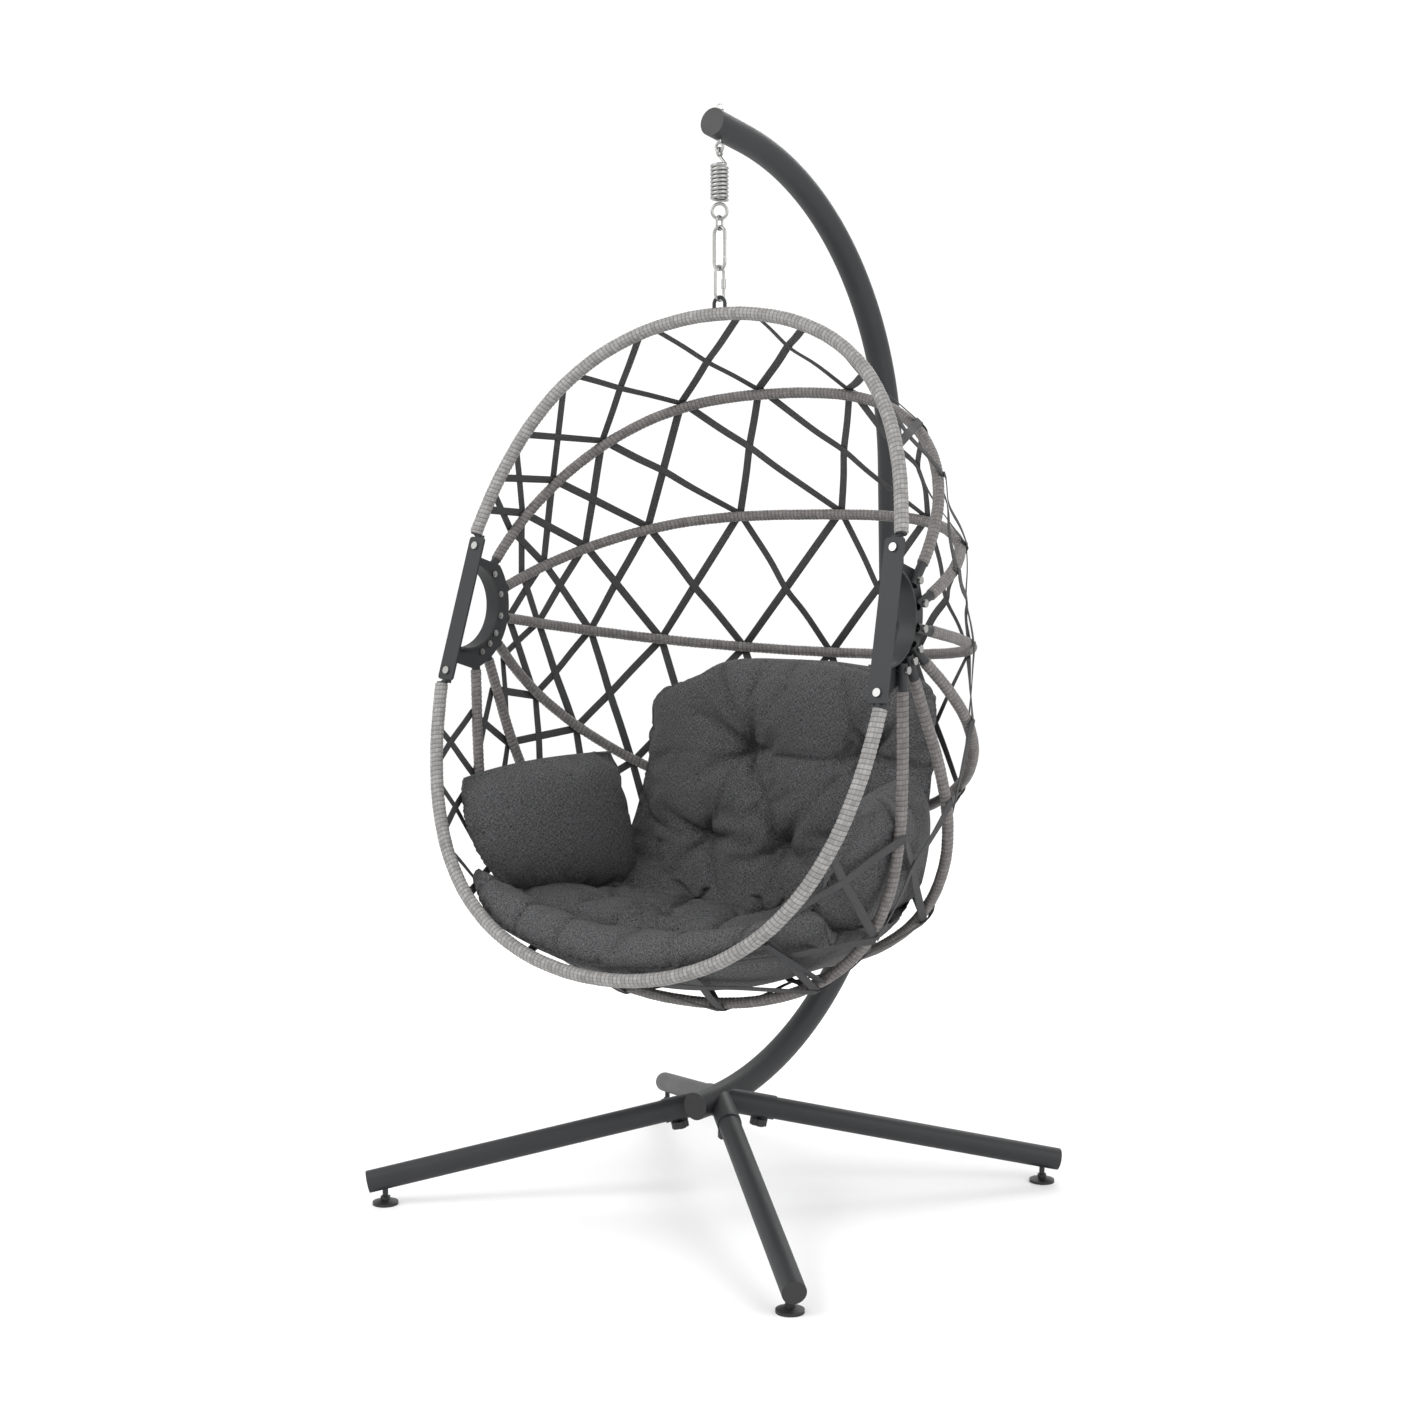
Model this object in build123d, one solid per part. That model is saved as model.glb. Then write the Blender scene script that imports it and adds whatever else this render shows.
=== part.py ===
from build123d import *
import math
import os

# Hanging egg chair on a C-shaped stand. Millimetres, +Z up, the basket opens towards -Y.
# Pieces are drawn around the hanging axis (x = y = 0, floor at z = 0). save() then moves them
# so that the origin lies on the floor under the middle of the whole chair's box.
ORIGIN_Y = 83.5

# C-shaped arm: two steel tubes in the plane x = 0
ARM_OD, ARM_WALL = 50.0, 1.6
ARM_TIP = (-19.0, 1920.0)
ARM_TOP_CENTRE, ARM_TOP_R = (-17.0, 1322.0), 590.0
ARM_LOW_CENTRE, ARM_LOW_R = (-51.0, 818.0), 641.5
ARM_FOOT_END_Y = -70.0
ARM_JOINT_Z, SPIGOT_LENGTH, SPIGOT_WALL = 905.0, 90.0, 1.6
ARM_SCREW_Z = 940.0

# Cross-shaped base: four tubes in welded stub sockets
LEG_OD, LEG_WALL = 40.0, 1.5
LEG_TURN, LEG_SLOPE = 47.0, 12.0
LEG_START, LEG_END = 58.0, 647.0
HUB_Z = ARM_LOW_CENTRE[1] - ARM_LOW_R
STUB_OD, STUB_BORE, STUB_START, STUB_END = 44.0, 40.3, 52.0, 104.0
CAP_FLANGE, CAP_PLUG, CAP_GAP = 3.0, 10.0, 0.1
KNOB_AT, KNOB_R, KNOB_HEIGHT, KNOB_SHANK_R = 80.0, 16.0, 13.0, 4.0
FOOT_AT, FOOT_R, FOOT_STEM_R = 605.0, 23.0, 5.0

# Suspension, from the eye bolt down to the ring on the basket; heights of wire centre-lines
EYE_WIRE, EYE_R, EYE_Z = 5.0, 7.5, 1880.0
HOOK_WIRE, HOOK_R = 5.0, 6.5
COIL_OD, COIL_WIRE, COIL_PITCH, COIL_TURNS = 33.0, 6.2, 6.8, 9.0
COIL_BOTTOM_Z = 1785.0
LOOP_WIRE, LOOP_R, LOOP_TURN = 5.5, 13.2, 36.7
LINK_WIRE, LINK_HALF, LINK_HEIGHT = 4.0, 8.0, 24.0
SNAP_WIRE, SNAP_HALF, SNAP_HEIGHT = 6.0, 11.5, 74.0
GATE_TOP, GATE_LOW, GATE_R, HINGE_GAP, NOSE_GAP = 15.0, 17.0, 2.6, 1.3, 0.6
QUICK_WIRE, QUICK_HALF = 5.0, 12.5
RING_WIRE, RING_R, RING_TOP_Z = 6.5, 11.75, 1619.5
SLACK = 0.3

# Basket: a wrapped hoop round the opening and six wrapped ribs that fan out from two side hubs
BASKET_Y = 18.0
HOOP_CORE, HOOP_WRAP = 19.0, 23.6
RIB_CORE, RIB_WRAP = 16.0, 19.6
CORE_WALL, WRAP_GAP = 1.4, 0.1
HOOP_TOP_Z, HOOP_BOTTOM = 1590.0, (-369.0, 458.0)
HOOP_WIDTH, HOOP_LEAN_IN, HOOP_DRAW = 500.0, 4.7, 19.6
# share of the hoop's height reached at each angle: three cosine terms that add up to 1
HOOP_DROP = (0.50815, -0.00324, -0.00815)
HOOP_BARE_TURN, HOOP_END_GAP = 3.0, 22.0
BRACKET_TOP, BRACKET_BOTTOM = (456.0, -163.0, 1180.0), (469.0, -229.0, 951.0)
HUB_CENTRE, HUB_BOLT_R = (-198.0, 1071.0), 98.0
HUB_X = 468.0
RIB_STUB, RIB_BARE = 11.0, 34.0
HUB_WALL_R, HUB_WALL, HUB_WALL_HALF = 78.0, 4.0, 15.0
HUB_FLANGE_R, HUB_FLANGE, HUB_INSET = 122.0, 4.0, 12.0
BAR_WIDTH, BAR_THICK, BAR_OVERHANG, BAR_CORNER = 36.0, 4.5, 34.0, 6.0
TONGUE_WIDTH, TONGUE_LENGTH, TONGUE_THICK = 19.0, 30.0, 4.0
BOLT_R, HOLE_R, HEAD_R, NUT_R = 3.0, 3.1, 6.5, 5.8
# each rib: bulge of its half width, depth, drawing-in of the depth, slope in degrees, start (y, z) at the hub
RIBS = [
    (-30.0, 443.0, -39.0, 50.0, (-98.0, 1151.0)),
    (-17.0, 415.0, -39.0, 21.9, (-78.0, 1099.0)),
    (13.0, 527.0, -3.0, -8.7, (-111.0, 1050.0)),
    (88.0, 477.0, 80.0, -39.9, (-117.0, 1017.0)),
    (81.0, 591.0, 57.0, -65.4, (-132.0, 995.0)),
    (60.0, 593.0, 2.0, -89.0, (-154.0, 977.0)),
]

# Straps: flat bands tied between neighbouring tubes. Where they are tied, from the middle of each tube,
# from the left to the right; the band that leaves one tie crosses over to the next tie of the next tube.
STRAP_WIDTH, STRAP_THICK, TIE_SPREAD = 15.0, 2.0, 14.0
TIES_HOOP_TOP = [-650, -585, -492, -345, -161, 60, 209, 390, 545]
TIES_RIBS = [
    [-625, -585, -499, -381, -213, -46, 156, 353, 506],
    [-625, -570, -477, -351, -165, 63, 270, 467, 590],
    [-735, -659, -538, -390, -227, -48, 150, 350, 560],
    [-770, -649, -540, -410, -250, -60, 150, 390, 655],
    [-840, -722, -560, -390, -200, 0, 180, 400, 678],
    [-790, -671, -500, -320, -120, 97, 304, 455, 634],
]
TIES_HOOP_LOW = [-700, -600, -470, -330, -150, 30, 207, 360, 540]

# Stays from the lower hoop back to the lowest rib, under the straps
STAY_WIDTH, STAY_THICK, STAY_DROP, STAY_AT_HOOP, STAY_AT_RIB = 18.0, 3.0, 9.0, 345.0, 330.0

# Cushions: thickness, length along the side of the basket and height of a bolster, and how it stands
SEAT_TOP_Z = 592.0
BOLSTER_SIZE = (84.0, 320.0, 216.0)
BOLSTER_AT, BOLSTER_YAW, BOLSTER_LEAN = (347.0, -30.0, 693.0), 14.0, 10.0
# outline of the seat and back at five distances from the middle: height and thickness of the back,
# and how far the front of the seat stands above its middle
SEAT_SECTIONS = [
    (258.0, 880.0, 80.0, 6.0),
    (180.0, 935.0, 125.0, 0.0),
    (0.0, 950.0, 140.0, -10.0),
    (-180.0, 935.0, 125.0, 0.0),
    (-258.0, 880.0, 80.0, 6.0),
]


def save(name, *solids):
    """Moves a node's solids to the chair's own origin and writes them as one STEP file."""
    place = Pos(0, -ORIGIN_Y, 0)
    moved = [place * solid for solid in solids]
    export_step(moved[0] if len(moved) == 1 else Compound(children=moved), f"parts/{name}.step")


def one(shape):
    """The single solid of a shape made by a boolean."""
    return shape.solids().sort_by(SortBy.VOLUME)[-1]


def rod(start, end, radius):
    """A round bar between two points."""
    start, end = Vector(*start), Vector(*end)
    plane = Plane(origin=start, z_dir=end - start)
    return plane * Cylinder(radius, (end - start).length, align=(Align.CENTER, Align.CENTER, Align.MIN))


def arc_between(start, tangent, end):
    """The circular arc that leaves start along tangent and reaches end."""
    chord = end - start
    along = chord.normalized()
    side = tangent - along * tangent.dot(along)
    if side.length < 1e-5:
        return Line(start, end)
    half_turn = math.acos(max(-1.0, min(1.0, tangent.dot(along))))
    middle = (start + end) * 0.5 + side.normalized() * (chord.length / 2 * math.tan(half_turn / 2))
    return ThreePointArc(start, middle, end)


def biarc(p0, t0, p1, t1):
    """Two arcs that join smoothly between two points with given unit tangents."""
    v, t = p1 - p0, t0 + t1
    a = 2 * (1 - t0.dot(t1))
    if a < 1e-9:
        return [Line(p0, p1)]
    b = v.dot(t)
    d = (-b + math.sqrt(b * b + a * v.dot(v))) / a
    q = (p0 + p1 + (t0 - t1) * d) * 0.5
    first = arc_between(p0, t0, q)
    return [first, arc_between(q, (first % 1).normalized(), p1)]


def direction(curve, t, step=1e-4):
    """The unit tangent of a curve given as a function of one number."""
    return (curve(t + step) - curve(t - step)).normalized()


def smooth_wire(curve, t0, t1, spans):
    """A wire of tangent arcs that follows curve(t) from t0 to t1."""
    ts = [t0 + (t1 - t0) * i / spans for i in range(spans + 1)]
    edges = []
    for a, b in zip(ts, ts[1:]):
        edges += biarc(curve(a), direction(curve, a), curve(b), direction(curve, b))
    return edges


def tube_along(edges, outer_r, inner_r=0.0):
    """A tube, or a bar if inner_r is 0, swept along smoothly joined edges."""
    path = Wire(edges)
    plane = Plane(origin=path @ 0, z_dir=path % 0)
    outer = sweep(plane * Circle(outer_r), path=path)
    if not inner_r:
        return one(outer)
    return one(outer - sweep(plane * Circle(inner_r), path=path))


class Stations:
    """Distances along a curve, counted from the parameter where middle is."""

    def __init__(self, curve, t0, t1, middle, steps=400):
        self.ts = [t0 + (t1 - t0) * i / steps for i in range(steps + 1)]
        points = [curve(t) for t in self.ts]
        self.s = [0.0]
        for p, q in zip(points, points[1:]):
            self.s.append(self.s[-1] + (q - p).length)
        shift = self.s[min(range(steps + 1), key=lambda i: abs(self.ts[i] - middle))]
        self.s = [value - shift for value in self.s]

    def parameter(self, s):
        i = max(1, next((k for k, value in enumerate(self.s) if value >= s), len(self.s) - 1))
        share = (s - self.s[i - 1]) / (self.s[i] - self.s[i - 1])
        return self.ts[i - 1] + (self.ts[i] - self.ts[i - 1]) * share


# ---------------------------------------------------------------- stand: C-shaped arm
def arm_edges():
    """Centre-line of the whole arm from its tip down to the base: line, arc, line, arc, line."""
    at = lambda y, z: Vector(0, y, z)
    (ty, tz), (cy, cz), (ly, lz) = ARM_TIP, ARM_TOP_CENTRE, ARM_LOW_CENTRE
    to_tip = math.hypot(ty - cy, tz - cz)
    lean = math.atan2(ty - cy, tz - cz) + math.acos(ARM_TOP_R / to_tip)
    a = at(cy + ARM_TOP_R * math.sin(lean), cz + ARM_TOP_R * math.cos(lean))
    gap_y, gap_z = cy - ly, cz - lz
    tilt = math.asin((ARM_LOW_R - ARM_TOP_R) / math.hypot(gap_y, gap_z)) - math.atan2(gap_y, gap_z)
    normal = at(math.cos(tilt), math.sin(tilt))
    b = at(cy, cz) + normal * ARM_TOP_R
    c = at(ly, lz) + normal * ARM_LOW_R
    d = at(ly, lz - ARM_LOW_R)
    share = (b.Z - ARM_JOINT_Z) / (b.Z - c.Z)
    joint = b + (c - b) * share
    tip = at(ty, tz)
    upper = [Line(tip, a), arc_between(a, (a - tip).normalized(), b), Line(b, joint)]
    lower = [Line(joint, c), arc_between(c, (c - b).normalized(), d), Line(d, at(ARM_FOOT_END_Y, d.Z))]
    return upper, lower, joint, (b - c).normalized()


def make_arm():
    upper, lower, joint, up = arm_edges()
    outer, inner = ARM_OD / 2, ARM_OD / 2 - ARM_WALL
    upper_tube = tube_along(upper, outer, inner)
    lower_tube = tube_along(lower, outer, inner)
    # the spigot is pressed into the lower tube and slides inside the upper one
    spigot_bore = inner - SPIGOT_WALL - 0.1
    spigot = rod(joint - up * 40, joint, inner) + rod(joint, joint + up * SPIGOT_LENGTH, inner - 0.1)
    spigot = one(spigot - rod(joint - up * 50, joint + up * (SPIGOT_LENGTH + 10), spigot_bore))
    screws, axis_y = [], joint.Y + (up.Y / up.Z) * (ARM_SCREW_Z - joint.Z)
    for side in (-1, 1):
        head = rod((side * (outer + 0.1), axis_y, ARM_SCREW_Z), (side * (outer + 4.5), axis_y, ARM_SCREW_Z), 6.5)
        shank = rod((side * (spigot_bore - 4), axis_y, ARM_SCREW_Z), (side * (outer + 0.1), axis_y, ARM_SCREW_Z), 3.0)
        hole = rod((side * 10, axis_y, ARM_SCREW_Z), (side * 40, axis_y, ARM_SCREW_Z), 3.1)
        screws.append(one(head + shank))
        upper_tube, spigot = upper_tube - hole, spigot - hole
    upper_tube -= rod((0, 0, EYE_Z - 20), (0, 0, ARM_TIP[1] + 40), 4.2)
    save("upper_arm_tube", one(upper_tube))
    save("lower_arm_tube", one(lower_tube))
    save("arm_joint_sleeve", one(spigot))
    save("arm_joint_screws", *screws)
    ends = [(upper[0] @ 0, (upper[0] % 0) * -1), (lower[-1] @ 1, lower[-1] % 1)]
    save("arm_end_caps", *[end_cap(point, out, ARM_OD / 2, inner) for point, out in ends])


def end_cap(point, out, outer_r, bore_r):
    """A flat plastic cap with a plug that sits in a tube's end."""
    flange = rod(point + out * CAP_GAP, point + out * CAP_FLANGE, outer_r)
    plug = rod(point - out * CAP_PLUG, point + out * (CAP_GAP + 0.5), bore_r - 0.15)
    return one(flange + plug)


# ---------------------------------------------------------------- stand: base
def leg_turns():
    """Direction of each leg seen from above, in degrees from +X, by name."""
    return {
        "front_left": -90 - LEG_TURN,
        "front_right": -90 + LEG_TURN,
        "rear_left": 90 + LEG_TURN,
        "rear_right": 90 - LEG_TURN,
    }


def leg_point(turn, along, up=0.0):
    """A point at a distance along a leg's axis and a distance above it, square to the axis."""
    slope = math.radians(LEG_SLOPE)
    out = along * math.cos(slope) + up * math.sin(slope)
    z = HUB_Z - along * math.sin(slope) + up * math.cos(slope)
    return Vector(out * math.cos(math.radians(turn)), out * math.sin(math.radians(turn)), z)


def cylinder_on_leg(turn, start, end, radius):
    return rod(leg_point(turn, start), leg_point(turn, end), radius)


def make_base():
    _, lower, _, _ = arm_edges()
    arm_core = tube_along(lower, ARM_OD / 2)
    outer, bore = None, None
    for turn in leg_turns().values():
        shell = cylinder_on_leg(turn, 10, STUB_END, STUB_OD / 2)
        hollow = cylinder_on_leg(turn, STUB_START, STUB_END + 5, STUB_BORE / 2)
        hollow += rod(leg_point(turn, KNOB_AT, -40), leg_point(turn, KNOB_AT), KNOB_SHANK_R + 0.1)
        outer = shell if outer is None else outer + shell
        bore = hollow if bore is None else bore + hollow
    stubs = (outer - bore - arm_core).solids().sort_by(Axis.X)
    save("leg_sockets", *[s for s in stubs if s.volume > 5000])
    caps = []
    for name, turn in leg_turns().items():
        tube = cylinder_on_leg(turn, LEG_START, LEG_END, LEG_OD / 2)
        tube -= cylinder_on_leg(turn, LEG_START - 5, LEG_END + 5, LEG_OD / 2 - LEG_WALL)
        tube -= rod(leg_point(turn, KNOB_AT, -40), leg_point(turn, KNOB_AT), KNOB_SHANK_R + 0.1)
        foot = leg_point(turn, FOOT_AT / math.cos(math.radians(LEG_SLOPE)))
        tube -= rod((foot.X, foot.Y, 0), (foot.X, foot.Y, foot.Z), FOOT_STEM_R + 0.1)
        save(f"leg_{name}", one(tube))
        end = leg_point(turn, LEG_END)
        out = (end - leg_point(turn, LEG_START)).normalized()
        caps.append(end_cap(end, out, LEG_OD / 2, LEG_OD / 2 - LEG_WALL))
        save(f"foot_{name}", levelling_foot(foot))
        save(f"knob_{name}", star_knob(turn))
    save("leg_end_caps", *caps)


def levelling_foot(at):
    """A moulded disc with a hexagon collar on a threaded stem."""
    disc = Pos(at.X, at.Y, 0) * Cylinder(FOOT_R, 5, align=(Align.CENTER, Align.CENTER, Align.MIN))
    cone = Pos(at.X, at.Y, 5) * Cone(FOOT_R, 9, 4, align=(Align.CENTER, Align.CENTER, Align.MIN))
    collar = Pos(at.X, at.Y, 9) * extrude(RegularPolygon(9, 6), 6)
    stem = rod((at.X, at.Y, 14), (at.X, at.Y, 46), FOOT_STEM_R)
    return one(disc + cone + collar + stem)


def star_knob(turn):
    """A five-lobed clamping knob whose bolt goes up through the stub and the leg."""
    top = -STUB_OD / 2 - 1.0
    plane = Plane(origin=leg_point(turn, KNOB_AT, top), z_dir=leg_point(turn, 0, 1) - leg_point(turn, 0, 0))
    body = Cylinder(KNOB_R, KNOB_HEIGHT)
    for i in range(5):
        body -= PolarLocations(KNOB_R + 3.5, 1, start_angle=72 * i) * Cylinder(5.5, KNOB_HEIGHT + 2)
    body = fillet(body.edges().filter_by(GeomType.CIRCLE).group_by(Axis.Z)[0], 1.0)
    body = Pos(0, 0, -KNOB_HEIGHT / 2) * body
    shank = Cylinder(KNOB_SHANK_R, 14, align=(Align.CENTER, Align.CENTER, Align.MIN))
    return plane * one(body + shank)


# ---------------------------------------------------------------- suspension
def ring_wire(centre_z, half_width, height, wire, turn):
    """A closed link of round wire in the vertical plane at turn degrees from XZ, centre-line height given."""
    straight = height - 2 * half_width
    if straight < 0.01:
        return Rot(0, 0, turn) * (Pos(0, 0, centre_z) * (Rot(90, 0, 0) * Torus(half_width, wire / 2)))
    top, low = straight / 2, -straight / 2
    edges = [
        ThreePointArc((half_width, top), (0, top + half_width), (-half_width, top)),
        Line((-half_width, top), (-half_width, low)),
        ThreePointArc((-half_width, low), (0, low - half_width), (half_width, low)),
        Line((half_width, low), (half_width, top)),
    ]
    upright = Plane(origin=(0, 0, centre_z), x_dir=(1, 0, 0), z_dir=(0, -1, 0))
    wires = [upright * edge for edge in edges]
    return Rot(0, 0, turn) * tube_along(wires, wire / 2)


def link_heights():
    """Heights of the wire centre-lines where each link bears on the next, from the top down."""
    z = {"eye": EYE_Z - EYE_R}
    z["hook_top"] = z["eye"] + EYE_WIRE / 2 + SLACK + HOOK_WIRE / 2
    z["coil_top"] = COIL_BOTTOM_Z + COIL_PITCH * COIL_TURNS + COIL_WIRE
    z["loop_top"] = COIL_BOTTOM_Z - SLACK - LOOP_WIRE / 2
    z["loop_low"] = z["loop_top"] - 2 * LOOP_R
    z["link_top"] = z["loop_low"] + LOOP_WIRE / 2 + SLACK + LINK_WIRE / 2
    z["link_low"] = z["link_top"] - LINK_HEIGHT
    z["snap_top"] = z["link_low"] + LINK_WIRE / 2 + SLACK + SNAP_WIRE / 2
    z["snap_low"] = z["snap_top"] - SNAP_HEIGHT
    z["quick_top"] = z["snap_low"] + SNAP_WIRE / 2 + SLACK + QUICK_WIRE / 2
    z["quick_low"] = RING_TOP_Z - RING_WIRE / 2 - SLACK - QUICK_WIRE / 2
    return z


def make_spring(z):
    hook_centre = z["hook_top"] - HOOK_R
    hook = ring_wire(hook_centre, HOOK_R, 2 * HOOK_R, HOOK_WIRE, 90)
    coil_r = (COIL_OD - COIL_WIRE) / 2
    coil_end = z["coil_top"] - COIL_WIRE / 2
    neck = rod((0, 0, hook_centre - HOOK_R), (coil_r, 0, coil_end), HOOK_WIRE / 2)
    save("spring_top_hook", one(hook + neck))
    helix = Helix(pitch=COIL_PITCH, height=COIL_PITCH * COIL_TURNS, radius=coil_r)
    section = Plane(origin=helix @ 0, z_dir=helix % 0) * Circle(COIL_WIRE / 2)
    coil = Pos(0, 0, COIL_BOTTOM_Z + COIL_WIRE / 2) * sweep(section, path=helix, is_frenet=True)
    save("spring_coil", one(coil))
    loop = ring_wire(z["loop_top"] - LOOP_R, LOOP_R, 2 * LOOP_R, LOOP_WIRE, LOOP_TURN)
    save("spring_bottom_loop", loop)


def make_eye_bolt():
    eye = ring_wire(EYE_Z, EYE_R, 2 * EYE_R, EYE_WIRE, 0)
    top = ARM_TIP[1] + 34
    shank = rod((0, 0, EYE_Z + EYE_R), (0, 0, top), 4.0)
    save("eye_bolt", one(eye + shank))
    seat = ARM_TIP[1] + 23.6
    washer = rod((0, 0, seat), (0, 0, seat + 1.6), 8.0)
    nut = Pos(0, 0, seat + 1.6) * extrude(RegularPolygon(7.5, 6), 6.0)
    save("eye_bolt_nut", one((washer + nut) - rod((0, 0, seat - 5), (0, 0, seat + 20), 4.05)))


def make_snap_hook(z):
    """An oval hook whose right side is a separate sprung gate between a nose and a hinge pin."""
    centre = (z["snap_top"] + z["snap_low"]) / 2
    body = ring_wire(centre, SNAP_HALF, SNAP_HEIGHT, SNAP_WIRE, 0)
    gate_top, gate_low = centre + GATE_TOP, centre - GATE_LOW
    gap = Pos(SNAP_HALF, 0, (gate_top + gate_low) / 2) * Box(9, 12, gate_top - gate_low)
    body = one(body - gap)
    gate = rod((SNAP_HALF, 0, gate_low + HINGE_GAP), (SNAP_HALF, 0, gate_top - NOSE_GAP), GATE_R)
    save("snap_hook", body)
    save("snap_gate", gate)


def make_suspension():
    z = link_heights()
    make_eye_bolt()
    make_spring(z)
    link = (z["link_top"] + z["link_low"]) / 2
    save("upper_chain_link", ring_wire(link, LINK_HALF, LINK_HEIGHT, LINK_WIRE, 90))
    make_snap_hook(z)
    quick_height = z["quick_top"] - z["quick_low"]
    quick_middle = (z["quick_top"] + z["quick_low"]) / 2
    quick = ring_wire(quick_middle, QUICK_HALF, quick_height, QUICK_WIRE, 90)
    sleeve = rod((0, QUICK_HALF, quick_middle - 8), (0, QUICK_HALF, quick_middle + 8), 4.2)
    save("lower_chain_link", one(quick + sleeve))
    arch_z = RING_TOP_Z - RING_R
    upright = Plane(origin=(0, 0, arch_z), x_dir=(1, 0, 0), z_dir=(0, -1, 0))
    drop = HOOP_TOP_Z + HOOP_CORE / 2 + 0.1 - arch_z
    edges = [
        upright * Line((-RING_R, drop), (-RING_R, 0)),
        upright * ThreePointArc((-RING_R, 0), (0, RING_R), (RING_R, 0)),
        upright * Line((RING_R, 0), (RING_R, drop)),
    ]
    save("hanger_ring", tube_along(edges, RING_WIRE / 2))


# ---------------------------------------------------------------- basket: hoop
def hoop_plane(upper):
    """Origin and downward direction of the flat half of the hoop: the top half leans further back."""
    by = BRACKET_TOP[1] + BASKET_Y, BRACKET_BOTTOM[1] + BASKET_Y
    if upper:
        start, end = Vector(0, 0, HOOP_TOP_Z), Vector(0, by[0], BRACKET_TOP[2])
        return start, (end - start).normalized()
    start, end = Vector(0, HOOP_BOTTOM[0] + BASKET_Y, HOOP_BOTTOM[1]), Vector(0, by[1], BRACKET_BOTTOM[2])
    return start, (end - start).normalized()


def hoop_curve(upper):
    """Egg outline by an angle from the top (or bottom) middle, in that half's own plane."""
    start, down = hoop_plane(upper)
    height = HOOP_TOP_Z - HOOP_BOTTOM[1]

    def curve(angle):
        phi = angle if upper else math.pi - angle
        half = HOOP_WIDTH * math.sin(phi) - HOOP_LEAN_IN * math.sin(2 * phi) + HOOP_DRAW * math.sin(3 * phi)
        drop = sum(term * (1 - math.cos((k + 1) * phi)) for k, term in enumerate(HOOP_DROP))
        along = (HOOP_TOP_Z - height * drop - start.Z) / down.Z
        return start + down * along + Vector(half, 0, 0)

    return curve


def hoop_end_angle(upper):
    """The angle at which a half hoop stops, a little before its bolt in the side bracket."""
    curve = hoop_curve(upper)
    stop = BRACKET_TOP[2] + HOOP_END_GAP if upper else BRACKET_BOTTOM[2] - HOOP_END_GAP
    angles = [math.radians(40 + 0.25 * i) for i in range(280)]
    return min(angles, key=lambda a: abs(curve(a).Z - stop))


def make_hoop():
    for upper, name in ((True, "upper_hoop"), (False, "lower_hoop")):
        curve, end = hoop_curve(upper), hoop_end_angle(upper)
        edges = smooth_wire(curve, -end, end, 10)
        core = tube_along(edges, HOOP_CORE / 2, HOOP_CORE / 2 - CORE_WALL)
        for side in (-1, 1):
            core += hoop_tongue(curve, end, side, upper)
        save(name, one(core))
        bare = end - math.radians(HOOP_BARE_TURN)
        wrap = tube_along(smooth_wire(curve, -bare, bare, 10), HOOP_WRAP / 2, HOOP_CORE / 2 + WRAP_GAP)
        if upper:
            for side in (-1, 1):
                wrap -= rod((side * RING_R, 0, HOOP_TOP_Z), (side * RING_R, 0, HOOP_TOP_Z + 20), RING_WIRE / 2 + 0.1)
        save(name + "_wrap", one(wrap))


def bracket_bolt(side, top):
    x, y, z = BRACKET_TOP if top else BRACKET_BOTTOM
    return Vector(side * x, y + BASKET_Y, z)


def bracket_plane(side):
    """Plane of a side bracket's front bar: x across, y along the bar, z out of its front."""
    low, top = bracket_bolt(side, False), bracket_bolt(side, True)
    along = (top - low).normalized()
    front = Vector(1, 0, 0).cross(along).normalized()
    across = along.cross(front)
    return Plane(origin=(low + top) * 0.5, x_dir=across, z_dir=front), (top - low).length


def hoop_tongue(curve, end, side, upper):
    """The flattened end of a hoop tube, which lies behind the bracket bar and is drilled for its bolt."""
    bolt = bracket_bolt(side, upper)
    plane, _ = bracket_plane(side)
    tube_end = curve(side * end)
    inward = direction(curve, side * end) * (-side)
    behind = bolt - plane.z_dir * ((BAR_THICK + TONGUE_THICK) / 2 + 0.35)
    away = plane.y_dir * (1 if upper else -1)
    spot = Plane(origin=behind + away * 7, x_dir=plane.x_dir, z_dir=plane.z_dir)
    tongue = spot * Box(TONGUE_WIDTH, TONGUE_LENGTH, TONGUE_THICK)
    bridge = rod(tube_end + inward * 4, behind + away * 16, HOOP_CORE / 2 - 3.6)
    return (tongue + bridge) - rod(bolt - plane.z_dir * 20, bolt + plane.z_dir * 20, HOLE_R)


# ---------------------------------------------------------------- basket: ribs
def rib_curve(index):
    """A rib by an angle from -90 to 90 degrees: half width along X, depth along its own slope."""
    bulge, depth, draw, slope, (y, z) = RIBS[index]
    across = HUB_X + bulge
    cos_s, sin_s = math.cos(math.radians(slope)), math.sin(math.radians(slope))

    def curve(angle):
        x = across * math.sin(angle) + bulge * math.sin(3 * angle)
        r = depth * math.cos(angle) + draw * math.cos(3 * angle)
        return Vector(x, y + BASKET_Y + r * cos_s, z + r * sin_s)

    return curve


def rib_end(index, side):
    """A rib's hub end: the end of its curve, the way on towards the hub, and how far on its bolt lies."""
    curve = rib_curve(index)
    end = curve(side * math.pi / 2)
    on = direction(curve, side * math.pi / 2) * side
    hub = Vector(end.X, HUB_CENTRE[0] + BASKET_Y, HUB_CENTRE[1])
    reach = end - hub
    b = on.dot(reach)
    to_bolt = -b - math.sqrt(b * b - reach.dot(reach) + HUB_BOLT_R ** 2)
    return end, on, to_bolt


def rib_bolt(index, side):
    """Where a rib's end is bolted to the hub flange, on the bolt circle."""
    end, on, to_bolt = rib_end(index, side)
    return end + on * to_bolt


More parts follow.
